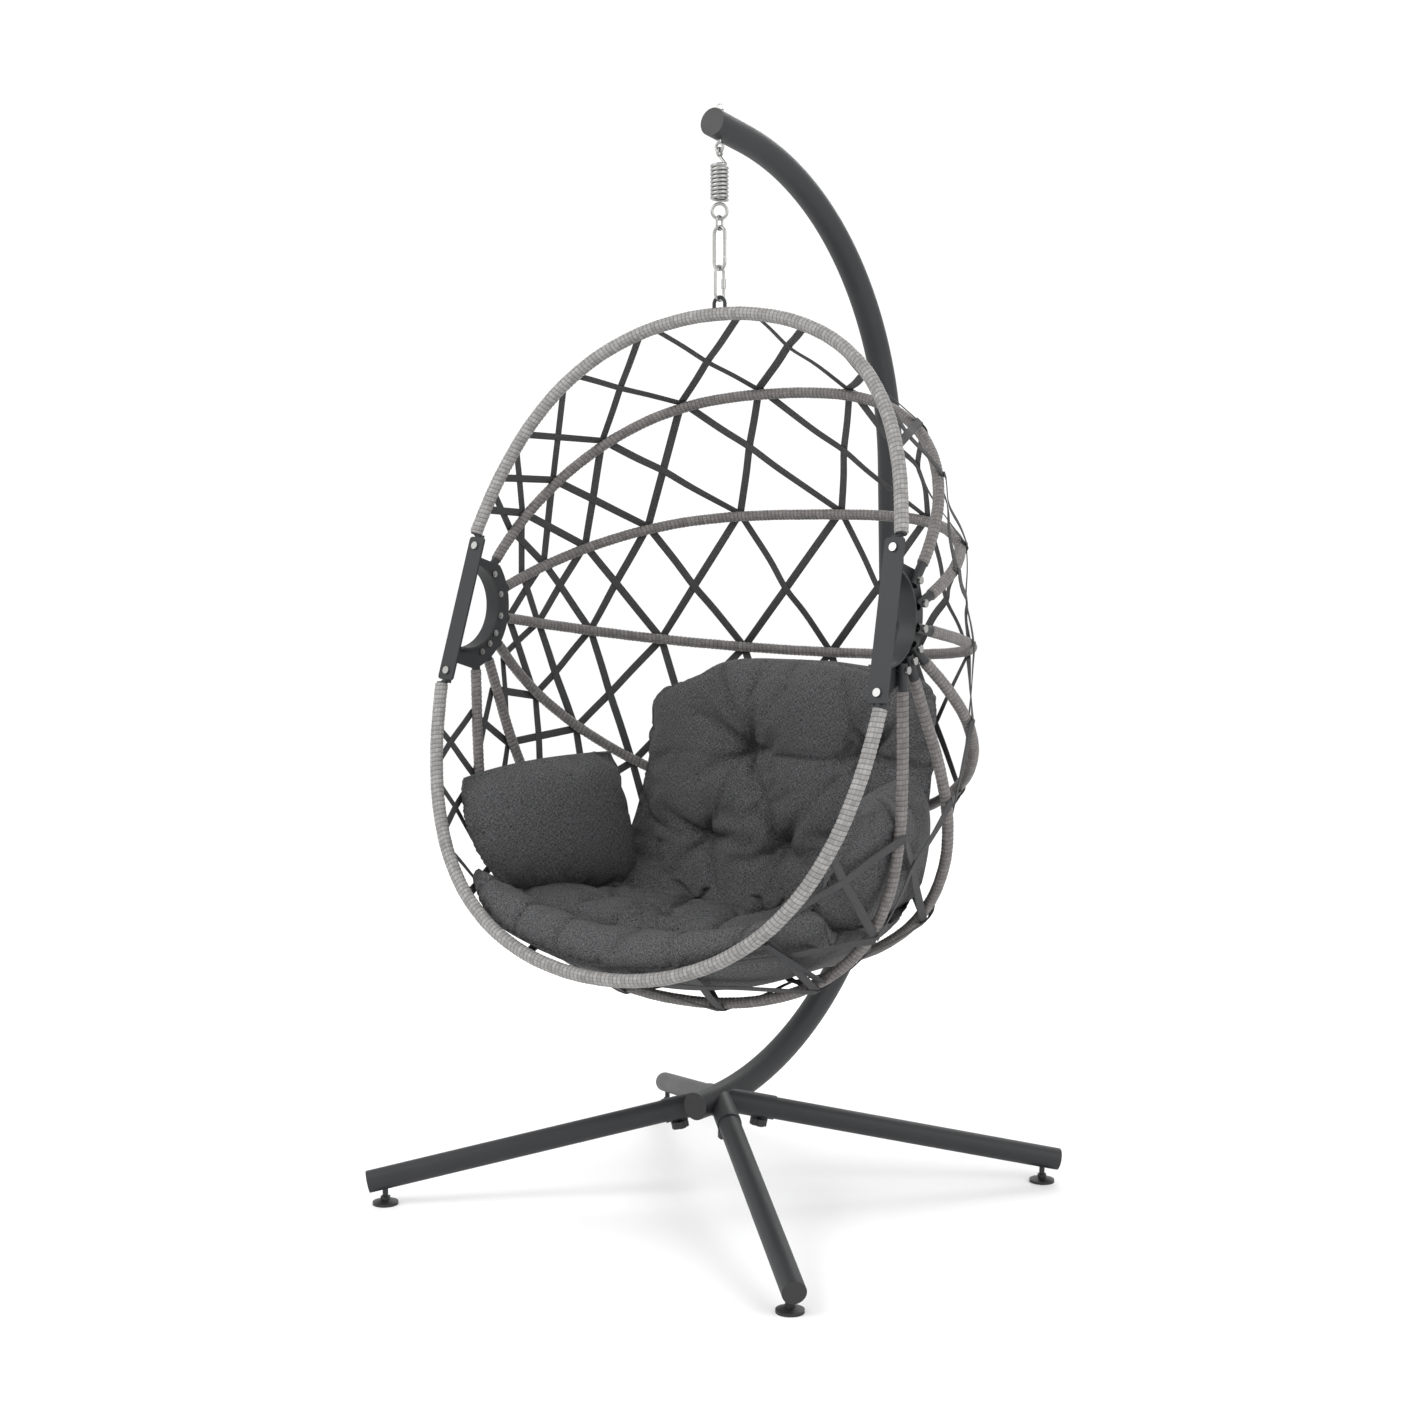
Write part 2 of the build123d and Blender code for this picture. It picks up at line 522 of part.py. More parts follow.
def make_ribs():
    quarter = math.pi / 2
    for index in range(len(RIBS)):
        curve = rib_curve(index)
        edges = smooth_wire(curve, -quarter, quarter, 8)
        wrap = tube_along(edges, RIB_WRAP / 2, RIB_CORE / 2 + WRAP_GAP)
        stubs = []
        for side in (-1, 1):
            end, on, to_bolt = rib_end(index, side)
            stubs.append(Line(end + on * (to_bolt + RIB_STUB), end))
            bare = end + on * (to_bolt - RIB_BARE)
            wrap -= rod(bare, bare + on * 80, 2 * RIB_WRAP)
        edges = [stubs[0]] + edges + [Line(stubs[1] @ 1, stubs[1] @ 0)]
        core = tube_along(edges, RIB_CORE / 2, RIB_CORE / 2 - CORE_WALL)
        for side in (-1, 1):
            bolt = rib_bolt(index, side)
            core -= rod((bolt.X - 30, bolt.Y, bolt.Z), (bolt.X + 30, bolt.Y, bolt.Z), HOLE_R)
        save(f"rib_{index + 1}", one(core))
        save(f"rib_{index + 1}_wrap", one(wrap))


# ---------------------------------------------------------------- basket: side brackets
def make_bracket(side, name):
    """Front bar, curved web and bolt flange of one side, welded into one piece; returns its bolts."""
    plane, reach = bracket_plane(side)
    bar = plane * Box(BAR_WIDTH, reach + BAR_OVERHANG, BAR_THICK)
    bar = fillet(bar.edges().filter_by(lambda e: abs(e.length - BAR_THICK) < 0.01), BAR_CORNER)
    cy, cz = HUB_CENTRE[0] + BASKET_Y, HUB_CENTRE[1]
    centre = Plane(origin=(side * (HUB_X - HUB_INSET), cy, cz), x_dir=(0, 1, 0), z_dir=(1, 0, 0))
    flange = centre * extrude(Circle(HUB_FLANGE_R) - Circle(HUB_WALL_R), HUB_FLANGE / 2, both=True)
    wall = centre * extrude(Circle(HUB_WALL_R + HUB_WALL) - Circle(HUB_WALL_R), HUB_WALL_HALF, both=True)
    rear = Plane(origin=plane.origin - plane.z_dir * (BAR_THICK / 2), x_dir=plane.x_dir, z_dir=plane.z_dir)
    behind = rear * Box(400, 2 * HUB_BOLT_R + 8, 300, align=(Align.CENTER, Align.CENTER, Align.MAX))
    bracket = bar + ((flange + wall) & behind)
    for top in (True, False):
        bolt = bracket_bolt(side, top)
        bracket -= rod(bolt - plane.z_dir * 20, bolt + plane.z_dir * 20, HOLE_R)
    bolts = []
    for index in range(len(RIBS)):
        spot = rib_bolt(index, side)
        bracket -= rod((side * (HUB_X - 30), spot.Y, spot.Z), (side * (HUB_X + 30), spot.Y, spot.Z), HOLE_R)
        bolts.append(hub_bolt(side, spot))
    for top in (True, False):
        bolts.append(end_bolt(bracket_bolt(side, top), plane))
    save(name, one(bracket))
    return bolts


def hub_bolt(side, spot):
    """A domed bolt through a rib's end and the hub flange, with its nut on the inside."""
    x = lambda d: (side * (HUB_X + d), spot.Y, spot.Z)
    inside = -HUB_INSET - HUB_FLANGE / 2 - 0.1
    head = rod(x(RIB_CORE / 2 + 0.1), x(RIB_CORE / 2 + 4.5), HEAD_R)
    nut = rod(x(inside - 4.1), x(inside), NUT_R)
    return one(head + rod(x(inside - 6), x(RIB_CORE / 2 + 1), BOLT_R) + nut)


def end_bolt(at, plane):
    """A domed bolt through the bracket bar and the hoop's flattened end."""
    n = plane.z_dir
    front, rear = BAR_THICK / 2 + 0.1, BAR_THICK / 2 + 0.35 + TONGUE_THICK + 0.1
    head = rod(at + n * front, at + n * (front + 3.7), HEAD_R + 0.5)
    nut = rod(at - n * (rear + 4.3), at - n * rear, NUT_R)
    return one(head + rod(at - n * (rear + 5.3), at + n * (front + 1), BOLT_R) + nut)


def make_stays():
    """Two flat stays that hold the front of the seat: from the lower hoop back to the lowest rib."""
    hoop, rib = hoop_curve(False), rib_curve(5)
    hoop_ties = Stations(hoop, -1.5, 1.5, 0.0)
    rib_ties = Stations(rib, -math.pi / 2, math.pi / 2, 0.0)
    stays = []
    for side in (-1, 1):
        a = hoop(hoop_ties.parameter(side * STAY_AT_HOOP))
        b = rib(rib_ties.parameter(side * STAY_AT_RIB))
        line = (b - a).normalized()
        a, b = a + line * (HOOP_WRAP / 2), b - line * (RIB_WRAP / 2)
        outward = Vector(0, 0, 1).cross(line).cross(line)
        outward = outward.normalized() * (-1 if outward.Z > 0 else 1)
        plane = Plane(origin=(a + b) * 0.5 + outward * STAY_DROP, x_dir=line, z_dir=outward)
        stays.append(plane * Box((b - a).length, STAY_WIDTH, STAY_THICK))
    save("seat_stays", *stays)


# ---------------------------------------------------------------- basket: straps
def strap_lines(start_curve, start_ties, end_curve, end_ties):
    """Centre-lines of one row of bands: every tie goes to the next tie on both sides, and each pair crosses."""
    last = min(len(start_ties), len(end_ties)) - 1
    lines = {}
    for k in range(last):
        lines[("right", k)] = (start_curve(start_ties[k] + TIE_SPREAD), end_curve(end_ties[k + 1] - TIE_SPREAD))
        lines[("left", k)] = (start_curve(start_ties[k + 1] - TIE_SPREAD), end_curve(end_ties[k] + TIE_SPREAD))
    return lines, last


def nearest(a, b, c, d):
    """The points where two lines, a to b and c to d, pass closest to each other."""
    u, v, w = b - a, d - c, a - c
    uu, uv, vv, uw, vw = u.dot(u), u.dot(v), v.dot(v), u.dot(w), v.dot(w)
    k = uu * vv - uv * uv
    return a + u * ((uv * vw - vv * uw) / k), c + v * ((uu * vw - uv * uw) / k)


def band(a, b, outward, start_r, end_r):
    """A flat bar between two tube centres that stops inside each tube's wrap."""
    along = (b - a).normalized()
    normal = (outward - along * outward.dot(along)).normalized()
    a, b = a + along * (start_r - 1.0), b - along * (end_r - 1.0)
    plane = Plane(origin=(a + b) * 0.5, x_dir=along, z_dir=normal)
    return plane * Box((b - a).length, STRAP_WIDTH, STRAP_THICK)


def make_straps():
    """Seven rows of crossing bands between the eight tubes; the two bands of a pair just clear each other."""

    def by_distance(curve, t0, t1):
        stations = Stations(curve, t0, t1, 0.0)
        return lambda s: curve(stations.parameter(s))

    quarter = math.pi / 2
    frames = [(by_distance(hoop_curve(True), -1.5, 1.5), TIES_HOOP_TOP, HOOP_WRAP / 2)]
    for index, ties in enumerate(TIES_RIBS):
        frames.append((by_distance(rib_curve(index), -quarter, quarter), ties, RIB_WRAP / 2))
    frames.append((by_distance(hoop_curve(False), -1.5, 1.5), TIES_HOOP_LOW, HOOP_WRAP / 2))
    middle = Vector(0, -40, 1010)
    for row in range(len(frames) - 1):
        (first, first_ties, first_r), (second, second_ties, second_r) = frames[row], frames[row + 1]
        lines, last = strap_lines(first, first_ties, second, second_ties)
        bands = []
        for k in range(last):
            a, b = lines[("right", k)]
            c, d = lines[("left", k)]
            p, q = nearest(a, b, c, d)
            outward = (b - a).cross(d - c).normalized()
            outward = outward if outward.dot((p + q) * 0.5 - middle) > 0 else outward * -1
            gap = (q - p).dot(outward)
            lift = (STRAP_THICK + 0.4 - gap) / 2
            bands.append(band(a - outward * lift, b - outward * lift, outward, first_r, second_r))
            bands.append(band(c + outward * lift, d + outward * lift, outward, first_r, second_r))
        save(f"strap_row_{row + 1}", *bands)


# ---------------------------------------------------------------- cushions
def at_half_width(curve, x):
    """The point of a rib or of the lower hoop at a distance x from the middle."""
    angle = min((0.01 * i for i in range(157)), key=lambda t: abs(curve(t).X - abs(x)))
    return curve(angle)


def seat_section(x, back_top, back_depth, front_rise):
    """Side outline of the one-piece seat and back at a distance x from the middle, inside the ribs."""
    hoop = at_half_width(hoop_curve(False), x)
    ribs = [at_half_width(rib_curve(index), x) for index in (5, 4, 3, 2)]
    share = (back_top - ribs[2].Z) / (ribs[3].Z - ribs[2].Z)
    rear = ribs[2].Y + (ribs[3].Y - ribs[2].Y) * share - 40
    outline = [
        (hoop.Y + 30, hoop.Z + 32),
        (ribs[0].Y, ribs[0].Z + 32),
        (ribs[1].Y - 18, ribs[1].Z + 34),
        (ribs[2].Y - 40, ribs[2].Z + 10),
        (rear, back_top),
        (rear - back_depth, back_top + 5),
        (ribs[1].Y - 30, SEAT_TOP_Z + 8),
        (hoop.Y + 38, SEAT_TOP_Z + front_rise),
    ]
    return Polyline([(x, y, z) for y, z in outline], close=True)


def make_cushions():
    """One padded piece for seat and back, lower and thinner towards its sides, and two loose bolsters."""
    seat = loft([Face(Wire(seat_section(*section))) for section in SEAT_SECTIONS], ruled=True)
    save("seat_back_cushion", one(seat))
    for side, name in ((-1, "side_bolster_left"), (1, "side_bolster_right")):
        pad = fillet(Box(*BOLSTER_SIZE).edges(), BOLSTER_SIZE[0] * 0.38)
        x, y, z = BOLSTER_AT
        save(name, Pos(side * x, y, z) * (Rot(0, side * BOLSTER_LEAN, side * BOLSTER_YAW) * pad))


if __name__ == "__main__":
    os.makedirs("parts", exist_ok=True)
    make_arm()
    make_base()
    make_suspension()
    make_hoop()
    make_ribs()
    bolts = make_bracket(-1, "side_bracket_left") + make_bracket(1, "side_bracket_right")
    save("basket_bolts", *bolts)
    make_stays()
    make_straps()
    make_cushions()
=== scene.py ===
import math

import bpy
import numpy as np
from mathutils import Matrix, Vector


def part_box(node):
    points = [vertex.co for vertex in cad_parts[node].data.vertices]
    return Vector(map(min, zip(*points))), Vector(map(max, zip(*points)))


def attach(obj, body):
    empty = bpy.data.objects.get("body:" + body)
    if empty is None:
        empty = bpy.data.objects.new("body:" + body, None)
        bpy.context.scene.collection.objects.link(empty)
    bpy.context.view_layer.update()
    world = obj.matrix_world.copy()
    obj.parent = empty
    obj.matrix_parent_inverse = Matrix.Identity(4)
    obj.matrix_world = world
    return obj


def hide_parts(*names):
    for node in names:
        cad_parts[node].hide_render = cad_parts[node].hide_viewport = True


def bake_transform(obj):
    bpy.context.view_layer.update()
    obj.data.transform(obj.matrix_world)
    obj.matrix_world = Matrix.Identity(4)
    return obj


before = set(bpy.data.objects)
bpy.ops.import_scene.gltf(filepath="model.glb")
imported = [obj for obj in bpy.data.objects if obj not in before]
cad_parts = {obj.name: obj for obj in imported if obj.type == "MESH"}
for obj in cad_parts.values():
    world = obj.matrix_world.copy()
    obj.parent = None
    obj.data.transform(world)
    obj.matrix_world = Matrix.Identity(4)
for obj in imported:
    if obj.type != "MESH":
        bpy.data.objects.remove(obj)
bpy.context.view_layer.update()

# ---------------------------------------------------------------- studio
# A plain pale floor under soft lamps, with the camera at head height in front of the chair's right side.
EYE, LOOK_AT, LENS = (2.2381, -3.1022, 1.1986), (0.0, -0.1042, 0.8839), 53.0
camera = bpy.data.objects.new("camera", bpy.data.cameras.new("camera"))
bpy.context.collection.objects.link(camera)
camera.data.lens = LENS
camera.location = EYE
aim = Vector(LOOK_AT) - Vector(EYE)
camera.rotation_euler = aim.to_track_quat("-Z", "Y").to_euler()
bpy.context.scene.camera = camera
bpy.context.scene.view_settings.view_transform = "Standard"


def lamp(name, place, target, size, watts):
    """A square soft lamp that points at target."""
    light = bpy.data.objects.new(name, bpy.data.lights.new(name, "AREA"))
    light.data.size, light.data.energy = size, watts
    light.location = place
    turn = Vector(target) - Vector(place)
    light.rotation_euler = turn.to_track_quat("-Z", "Y").to_euler()
    bpy.context.collection.objects.link(light)


lamp("key_lamp", (-1.6, -3.2, 3.6), (0, 0, 0.9), 2.2, 70)
lamp("side_lamp", (3.4, -0.6, 2.6), (0, 0, 0.9), 2.0, 40)
lamp("back_lamp", (-1.0, 3.2, 3.0), (0, 0, 1.0), 2.0, 40)

world = bpy.data.worlds.new("studio")
world.use_nodes = True
world.node_tree.nodes["Background"].inputs["Color"].default_value = (1, 1, 1, 1)
world.node_tree.nodes["Background"].inputs["Strength"].default_value = 1.06
bpy.context.scene.world = world


def node(tree, kind, inputs=(), **settings):
    """A shader node. inputs gives a number, colour or socket for each named or numbered input."""
    new = tree.nodes.new("ShaderNode" + kind)
    for key, value in settings.items():
        setattr(new, key, value)
    for key, value in dict(inputs).items():
        if isinstance(value, bpy.types.NodeSocket):
            tree.links.new(value, new.inputs[key])
        else:
            new.inputs[key].default_value = value
    return new


def group(name, inputs, outputs):
    """An empty node group with number or vector inputs and number outputs. Returns its tree and both ends."""
    tree = bpy.data.node_groups.new(name, "ShaderNodeTree")
    for label, kind, value in inputs:
        socket = tree.interface.new_socket(label, in_out="INPUT", socket_type=kind)
        if value is not None:
            socket.default_value = value
    for label in outputs:
        tree.interface.new_socket(label, in_out="OUTPUT", socket_type="NodeSocketFloat")
    return tree, tree.nodes.new("NodeGroupInput").outputs, tree.nodes.new("NodeGroupOutput").inputs


def math_node(tree, operation, a, b=0.0, c=0.0):
    return node(tree, "Math", {0: a, 1: b, 2: c}, operation=operation).outputs[0]


def blend_colours(tree, factor, dark, light):
    """The colour between dark and light that factor gives."""
    mix = node(tree, "Mix", {"Factor": factor}, data_type="RGBA")
    mix.inputs["A"].default_value, mix.inputs["B"].default_value = (*dark, 1), (*light, 1)
    return mix.outputs["Result"]


def finish(name, colour, roughness, height, depth, metal=0.0, extra=()):
    """A material from makers of a colour, a roughness and a height socket, which stands depth metres high."""
    made = bpy.data.materials.new(name)
    made.use_nodes = True
    tree = made.node_tree
    shader = tree.nodes["Principled BSDF"]
    shader.inputs["Metallic"].default_value = metal
    for key, value in dict(extra).items():
        shader.inputs[key].default_value = value
    bump = node(tree, "Bump", {"Strength": 1.0, "Distance": depth})
    for source, socket in ((colour, "Base Color"), (roughness, "Roughness")):
        tree.links.new(source(tree), shader.inputs[socket])
    tree.links.new(height(tree), bump.inputs["Height"])
    tree.links.new(bump.outputs["Normal"], shader.inputs["Normal"])
    return made


FLOOR_TONE = (0.93, 0.93, 0.93), (0.97, 0.97, 0.97)


def floor_noise(tree):
    place = node(tree, "TexCoord").outputs["Object"]
    return node(tree, "TexNoise", {"Vector": place, "Scale": 3.0, "Detail": 2.0}).outputs["Fac"]


floor_mesh = bpy.data.meshes.new("floor")
floor_mesh.from_pydata([(-30, -30, 0), (30, -30, 0), (30, 30, 0), (-30, 30, 0)], [], [(0, 1, 2, 3)])
floor = bpy.data.objects.new("floor", floor_mesh)
bpy.context.collection.objects.link(floor)
floor.data.materials.append(finish(
    "pale_floor", lambda t: blend_colours(t, floor_noise(t), *FLOOR_TONE),
    lambda t: math_node(t, "MULTIPLY_ADD", floor_noise(t), 0.1, 0.7), floor_noise, 0.0001))

# ---------------------------------------------------------------- painted steel
# The C-shaped arm, the cross of legs, the hoop and rib tubes, the side brackets and the stays are steel,
# powder-coated in charcoal with a fine orange-peel skin.
STEEL_NODES = ["upper_arm_tube", "lower_arm_tube", "arm_joint_sleeve", "leg_sockets", "seat_stays",
               "hanger_ring", "side_bracket_left", "side_bracket_right", "upper_hoop", "lower_hoop"]
STEEL_NODES += [f"leg_{end}_{side}" for end in ("front", "rear") for side in ("left", "right")]
STEEL_NODES += [f"rib_{k}" for k in range(1, 7)]
CHARCOAL = (0.021, 0.022, 0.0235), (0.031, 0.032, 0.034)

grain_tree, grain_in, grain_out = group(
    "fine_grain", [("Vector", "NodeSocketVector", None), ("Size", "NodeSocketFloat", 0.002)],
    ["Grain", "Patch"])
grain_scale = math_node(grain_tree, "DIVIDE", 1.0, grain_in["Size"])
fine = node(grain_tree, "TexNoise", {"Vector": grain_in["Vector"], "Scale": grain_scale, "Detail": 3.0})
broad_scale = math_node(grain_tree, "MULTIPLY", grain_scale, 0.02)
broad = node(grain_tree, "TexNoise", {"Vector": grain_in["Vector"], "Scale": broad_scale, "Detail": 4.0})
grain_tree.links.new(fine.outputs["Fac"], grain_out["Grain"])
grain_tree.links.new(broad.outputs["Fac"], grain_out["Patch"])


def use_group(tree, shared, inputs):
    placed = tree.nodes.new("ShaderNodeGroup")
    placed.node_tree = shared
    for key, value in inputs.items():
        if isinstance(value, bpy.types.NodeSocket):
            tree.links.new(value, placed.inputs[key])
        else:
            placed.inputs[key].default_value = value
    return placed.outputs


def grain(size, output):
    """A socket maker for the fine grain at that size in metres, on Object coordinates."""
    return lambda tree: use_group(
        tree, grain_tree, {"Vector": node(tree, "TexCoord").outputs["Object"], "Size": size})[output]


def grained(name, colours, size, rough, depth, metal=0.0, extra=()):
    """A moulded, plated or painted finish: patchy colour and roughness over a fine grain."""
    return finish(
        name, lambda t: blend_colours(t, grain(size, "Patch")(t), *colours),
        lambda t: math_node(t, "MULTIPLY_ADD", grain(size, "Patch")(t), rough[1] - rough[0], rough[0]),
        grain(size, "Grain"), depth, metal, extra)


def dress(names, material):
    """Gives CAD nodes a finish through their material slots."""
    for name in names:
        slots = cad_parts[name].material_slots
        for slot in slots:
            slot.material = material
        if not slots:
            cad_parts[name].data.materials.append(material)


dress(STEEL_NODES, grained("charcoal_powder_coat", CHARCOAL, 0.0016, (0.44, 0.58), 0.00004,
                          extra={"Specular IOR Level": 0.30}))

# ---------------------------------------------------------------- black plastic
# Levelling feet, clamping knobs and tube caps are moulded in black plastic with a matt skin.
PLASTIC_NODES = ["arm_end_caps", "leg_end_caps"]
PLASTIC_NODES += [f"{kind}_{end}_{side}" for kind in ("foot", "knob") for end in ("front", "rear")
                  for side in ("left", "right")]
PLASTIC_BLACK = (0.010, 0.010, 0.011), (0.016, 0.016, 0.017)
dress(PLASTIC_NODES, grained("black_moulded_plastic", PLASTIC_BLACK, 0.0009, (0.42, 0.58), 0.00003))

# ---------------------------------------------------------------- zinc hardware
# Eye bolt, spring hooks, links, snap hook, bolts and screws are bright zinc-plated steel.
ZINC_NODES = ["eye_bolt", "eye_bolt_nut", "spring_top_hook", "spring_bottom_loop",
              "upper_chain_link", "lower_chain_link", "snap_hook", "snap_gate", "basket_bolts",
              "arm_joint_screws"]
ZINC_TONE = (0.27, 0.27, 0.26), (0.44, 0.44, 0.43)
zinc = grained("zinc_plate", ZINC_TONE, 0.0012, (0.26, 0.46), 0.00002, 1.0)
dress(ZINC_NODES, zinc)

# ---------------------------------------------------------------- hoop and rib wraps
# Grey synthetic wicker is wound edge to edge round every basket tube, one turn of strand beside the next.
# It stops short of the brackets, where the painted tube shows. The ribs' wicker is darker than the hoop's.
ORIGIN_Y, BASKET_Y = 0.0835, 0.018 - 0.0835
HOOP_TOP_Z, HOOP_BOTTOM_Z = 1.590, 0.458
HOOP_HALVES = {  # (y, z) of two points in the plane of each half of the hoop
    "upper": ((-ORIGIN_Y, HOOP_TOP_Z), (-0.163 + BASKET_Y, 1.180)),
    "lower": ((-0.369 + BASKET_Y, HOOP_BOTTOM_Z), (-0.229 + BASKET_Y, 0.951)),
}
HOOP_STOPS = {"upper": 1.202, "lower": 0.929}
HOOP_BARE_TURN = math.radians(0.2)
RIBS = [  # bulge of the half width, depth, drawing-in, slope in degrees, (y, z) at the hub
    (-0.030, 0.443, -0.039, 50.0, (-0.098, 1.151)),
    (-0.017, 0.415, -0.039, 21.9, (-0.078, 1.099)),
    (0.013, 0.527, -0.003, -8.7, (-0.111, 1.050)),
    (0.088, 0.477, 0.080, -39.9, (-0.117, 1.017)),
    (0.081, 0.591, 0.057, -65.4, (-0.132, 0.995)),
    (0.060, 0.593, 0.002, -89.0, (-0.154, 0.977)),
]
HUB_X, HUB_CENTRE, HUB_BOLT_R, RIB_BARE = 0.468, (-0.198 + BASKET_Y, 1.071), 0.098, 0.034
STRAND, STRAND_STEPS = 0.0085, 7
HOOP_R, RIB_R = 0.0118, 0.0098
STRAND_SINK, STRAND_CROWN, CLOSED_SHARE = 0.0009, 0.0011, 0.78
WANDER_BROAD, WANDER_FINE = (0.00015, 61.0), (0.0001, 173.0)
HOOP_COLUMNS, RIB_COLUMNS = 26, 22


def hoop_line(half):
    """Half of the egg outline by an angle from its middle: width by sines, height by cosines of the angle,
    laid on that half's own leaning plane."""
    (y0, z0), (y1, z1) = HOOP_HALVES[half]

    def line(angle):
        phi = angle if half == "upper" else math.pi - angle
        x = 0.500 * np.sin(phi) - 0.0047 * np.sin(2 * phi) + 0.0196 * np.sin(3 * phi)
        drop = 0.50815 * (1 - np.cos(phi)) - 0.00324 * (1 - np.cos(2 * phi)) - 0.00815 * (1 - np.cos(3 * phi))
        z = HOOP_TOP_Z - (HOOP_TOP_Z - HOOP_BOTTOM_Z) * drop
        return np.stack([x, y0 + (z - z0) * (y1 - y0) / (z1 - z0), z], -1)

    return line


def rib_line(k):
    """A rib by an angle from -90 to 90 degrees: half width across, depth along its own slope from the hub."""
    bulge, depth, draw, slope, (y, z) = RIBS[k]
    cos_s, sin_s = math.cos(math.radians(slope)), math.sin(math.radians(slope))

    def line(angle):
        x = (HUB_X + bulge) * np.sin(angle) + bulge * np.sin(3 * angle)
        r = depth * np.cos(angle) + draw * np.cos(3 * angle)
        return np.stack([x, y + BASKET_Y + r * cos_s, z + r * sin_s], -1)

    return line


class Course:
    """A line measured by distance from its middle: place(s) is the point, tangent(s) the way on."""

    def __init__(self, line, low, high, count=1601):
        angle = np.linspace(low, high, count)
        self.points = line(angle)
        steps = np.linalg.norm(np.diff(self.points, axis=0), axis=1)
        self.s = np.concatenate([[0], np.cumsum(steps)])
        self.s -= np.interp(0.0, angle, self.s)

    def place(self, s):
        s = np.asarray(s, float)
        return np.stack([np.interp(s, self.s, self.points[:, k]) for k in range(3)], -1)

    def tangent(self, s, step=0.002):
        way = self.place(np.asarray(s) + step) - self.place(np.asarray(s) - step)
        return way / np.linalg.norm(way, axis=-1, keepdims=True)


def hoop_limit(half):
    """The angle at which the wicker of a hoop half stops, before its bolt."""
    angles = np.radians(np.arange(40, 110, 0.25))
    z = hoop_line(half)(angles)[:, 2]
    return angles[np.argmin(abs(z - HOOP_STOPS[half]))] - HOOP_BARE_TURN


def unit(v):
    return v / np.maximum(np.linalg.norm(v, axis=-1, keepdims=True), 1e-12)


def add_object(name, points, faces, uv=None):
    """A mesh object from vertices and faces, turned right side out by the sign of its volume."""
    if uv is not None:
        uv = np.asarray(uv, float)
    corner = np.array([(f[0], f[k], f[k + 1]) for f in faces for k in range(1, len(f) - 1)])
    a, b, c = (points[corner[:, k]] for k in range(3))
    if np.einsum("ij,ij->i", a, np.cross(b, c)).sum() < 0:
        order, start = [], 0
        for f in faces:
            order += range(start + len(f) - 1, start - 1, -1)
            start += len(f)
        faces = [f[::-1] for f in faces]
        uv = None if uv is None else uv[order]
    mesh = bpy.data.meshes.new(name)
    mesh.from_pydata(points.tolist(), [], faces)
    if uv is not None:
        mesh.uv_layers.new(name="UVMap").data.foreach_set("uv", uv.astype(np.float32).ravel())
    mesh.polygons.foreach_set("use_smooth", np.ones(len(faces), bool))
    mesh.update()
    made = bpy.data.objects.new(name, mesh)
    bpy.context.collection.objects.link(made)
    return made


def carried(points, u, v):
    """Faces and corner UVs of a closed tube: points is (rings, columns, 3), u runs along it and v around."""
    rings, columns = points.shape[:2]
    i, j = np.meshgrid(np.arange(rings - 1), np.arange(columns), indexing="ij")
    corners = [(i, j), (i, j + 1), (i + 1, j + 1), (i + 1, j)]
    faces = np.stack([a * columns + b % columns for a, b in corners], -1).reshape(-1, 4).tolist()
    uv = np.stack([np.stack([u[a], v[b]], -1) for a, b in corners], 2).reshape(-1, 2)
    first, last = list(range(columns))[::-1], list(range((rings - 1) * columns, rings * columns))
    ends = np.concatenate([np.full((columns, 2), (u[0], 0.0)), np.full((columns, 2), (u[-1], 0.0))])
    return faces + [first, last], np.concatenate([uv, ends])


def wound_wrap(name, course, low, high, radius, columns):
    """Strand wound round a tube: the radius swells and dips once per strand width along the tube, turning
    once round it as it goes, and closes on the steel at both ends."""
    rings = int((high - low) / STRAND * STRAND_STEPS)
    s = np.linspace(low, high, rings)
    turn = np.linspace(0, 2 * math.pi, columns, endpoint=False)
    centre, tangent = course.place(s), course.tangent(s)
    flat = unit(np.cross(course.points[0] - course.points[800], course.points[-1] - course.points[800]))
    side = np.cross(tangent, flat)
    phase = s[:, None] / STRAND - turn[None, :] / (2 * math.pi)
    crown = np.abs(np.sin(math.pi * phase)) ** 0.6
    wander = WANDER_BROAD[0] * np.sin(s[:, None] * WANDER_BROAD[1] + turn[None, :])
    wander = wander + WANDER_FINE[0] * np.sin(s[:, None] * WANDER_FINE[1])
    r = radius - STRAND_SINK + STRAND_CROWN * crown + wander
    r[0], r[-1] = radius * CLOSED_SHARE, radius * CLOSED_SHARE
    points = centre[:, None] + r[..., None] * (
        np.cos(turn)[None, :, None] * flat[None, None, :] + np.sin(turn)[None, :, None] * side[:, None, :])
    faces, uv = carried(points, s, np.linspace(0, 2 * math.pi * radius, columns + 1))
    return add_object(name, points.reshape(-1, 3), faces, uv)


strand_tree, strand_in, strand_out = group(
    "wound_strand",
    [("Vector", "NodeSocketVector", None), ("Strand", "NodeSocketFloat", STRAND),
     ("Girth", "NodeSocketFloat", 0.07)],
    ["Tone_and_shade", "Height"])
parts = node(strand_tree, "SeparateXYZ", {"Vector": strand_in["Vector"]})
around = math_node(strand_tree, "DIVIDE", parts.outputs["Y"], strand_in["Girth"])
along = math_node(strand_tree, "DIVIDE", parts.outputs["X"], strand_in["Strand"])
turned = math_node(strand_tree, "SUBTRACT", along, around)
number = math_node(strand_tree, "FLOOR", turned)
across = math_node(strand_tree, "FRACT", turned)
tile = math_node(strand_tree, "FLOOR", math_node(strand_tree, "MULTIPLY", around, 12.0))
in_tile = math_node(strand_tree, "FRACT", math_node(strand_tree, "MULTIPLY", around, 12.0))
seed = node(strand_tree, "CombineXYZ", {"X": number, "Y": tile}).outputs[0]
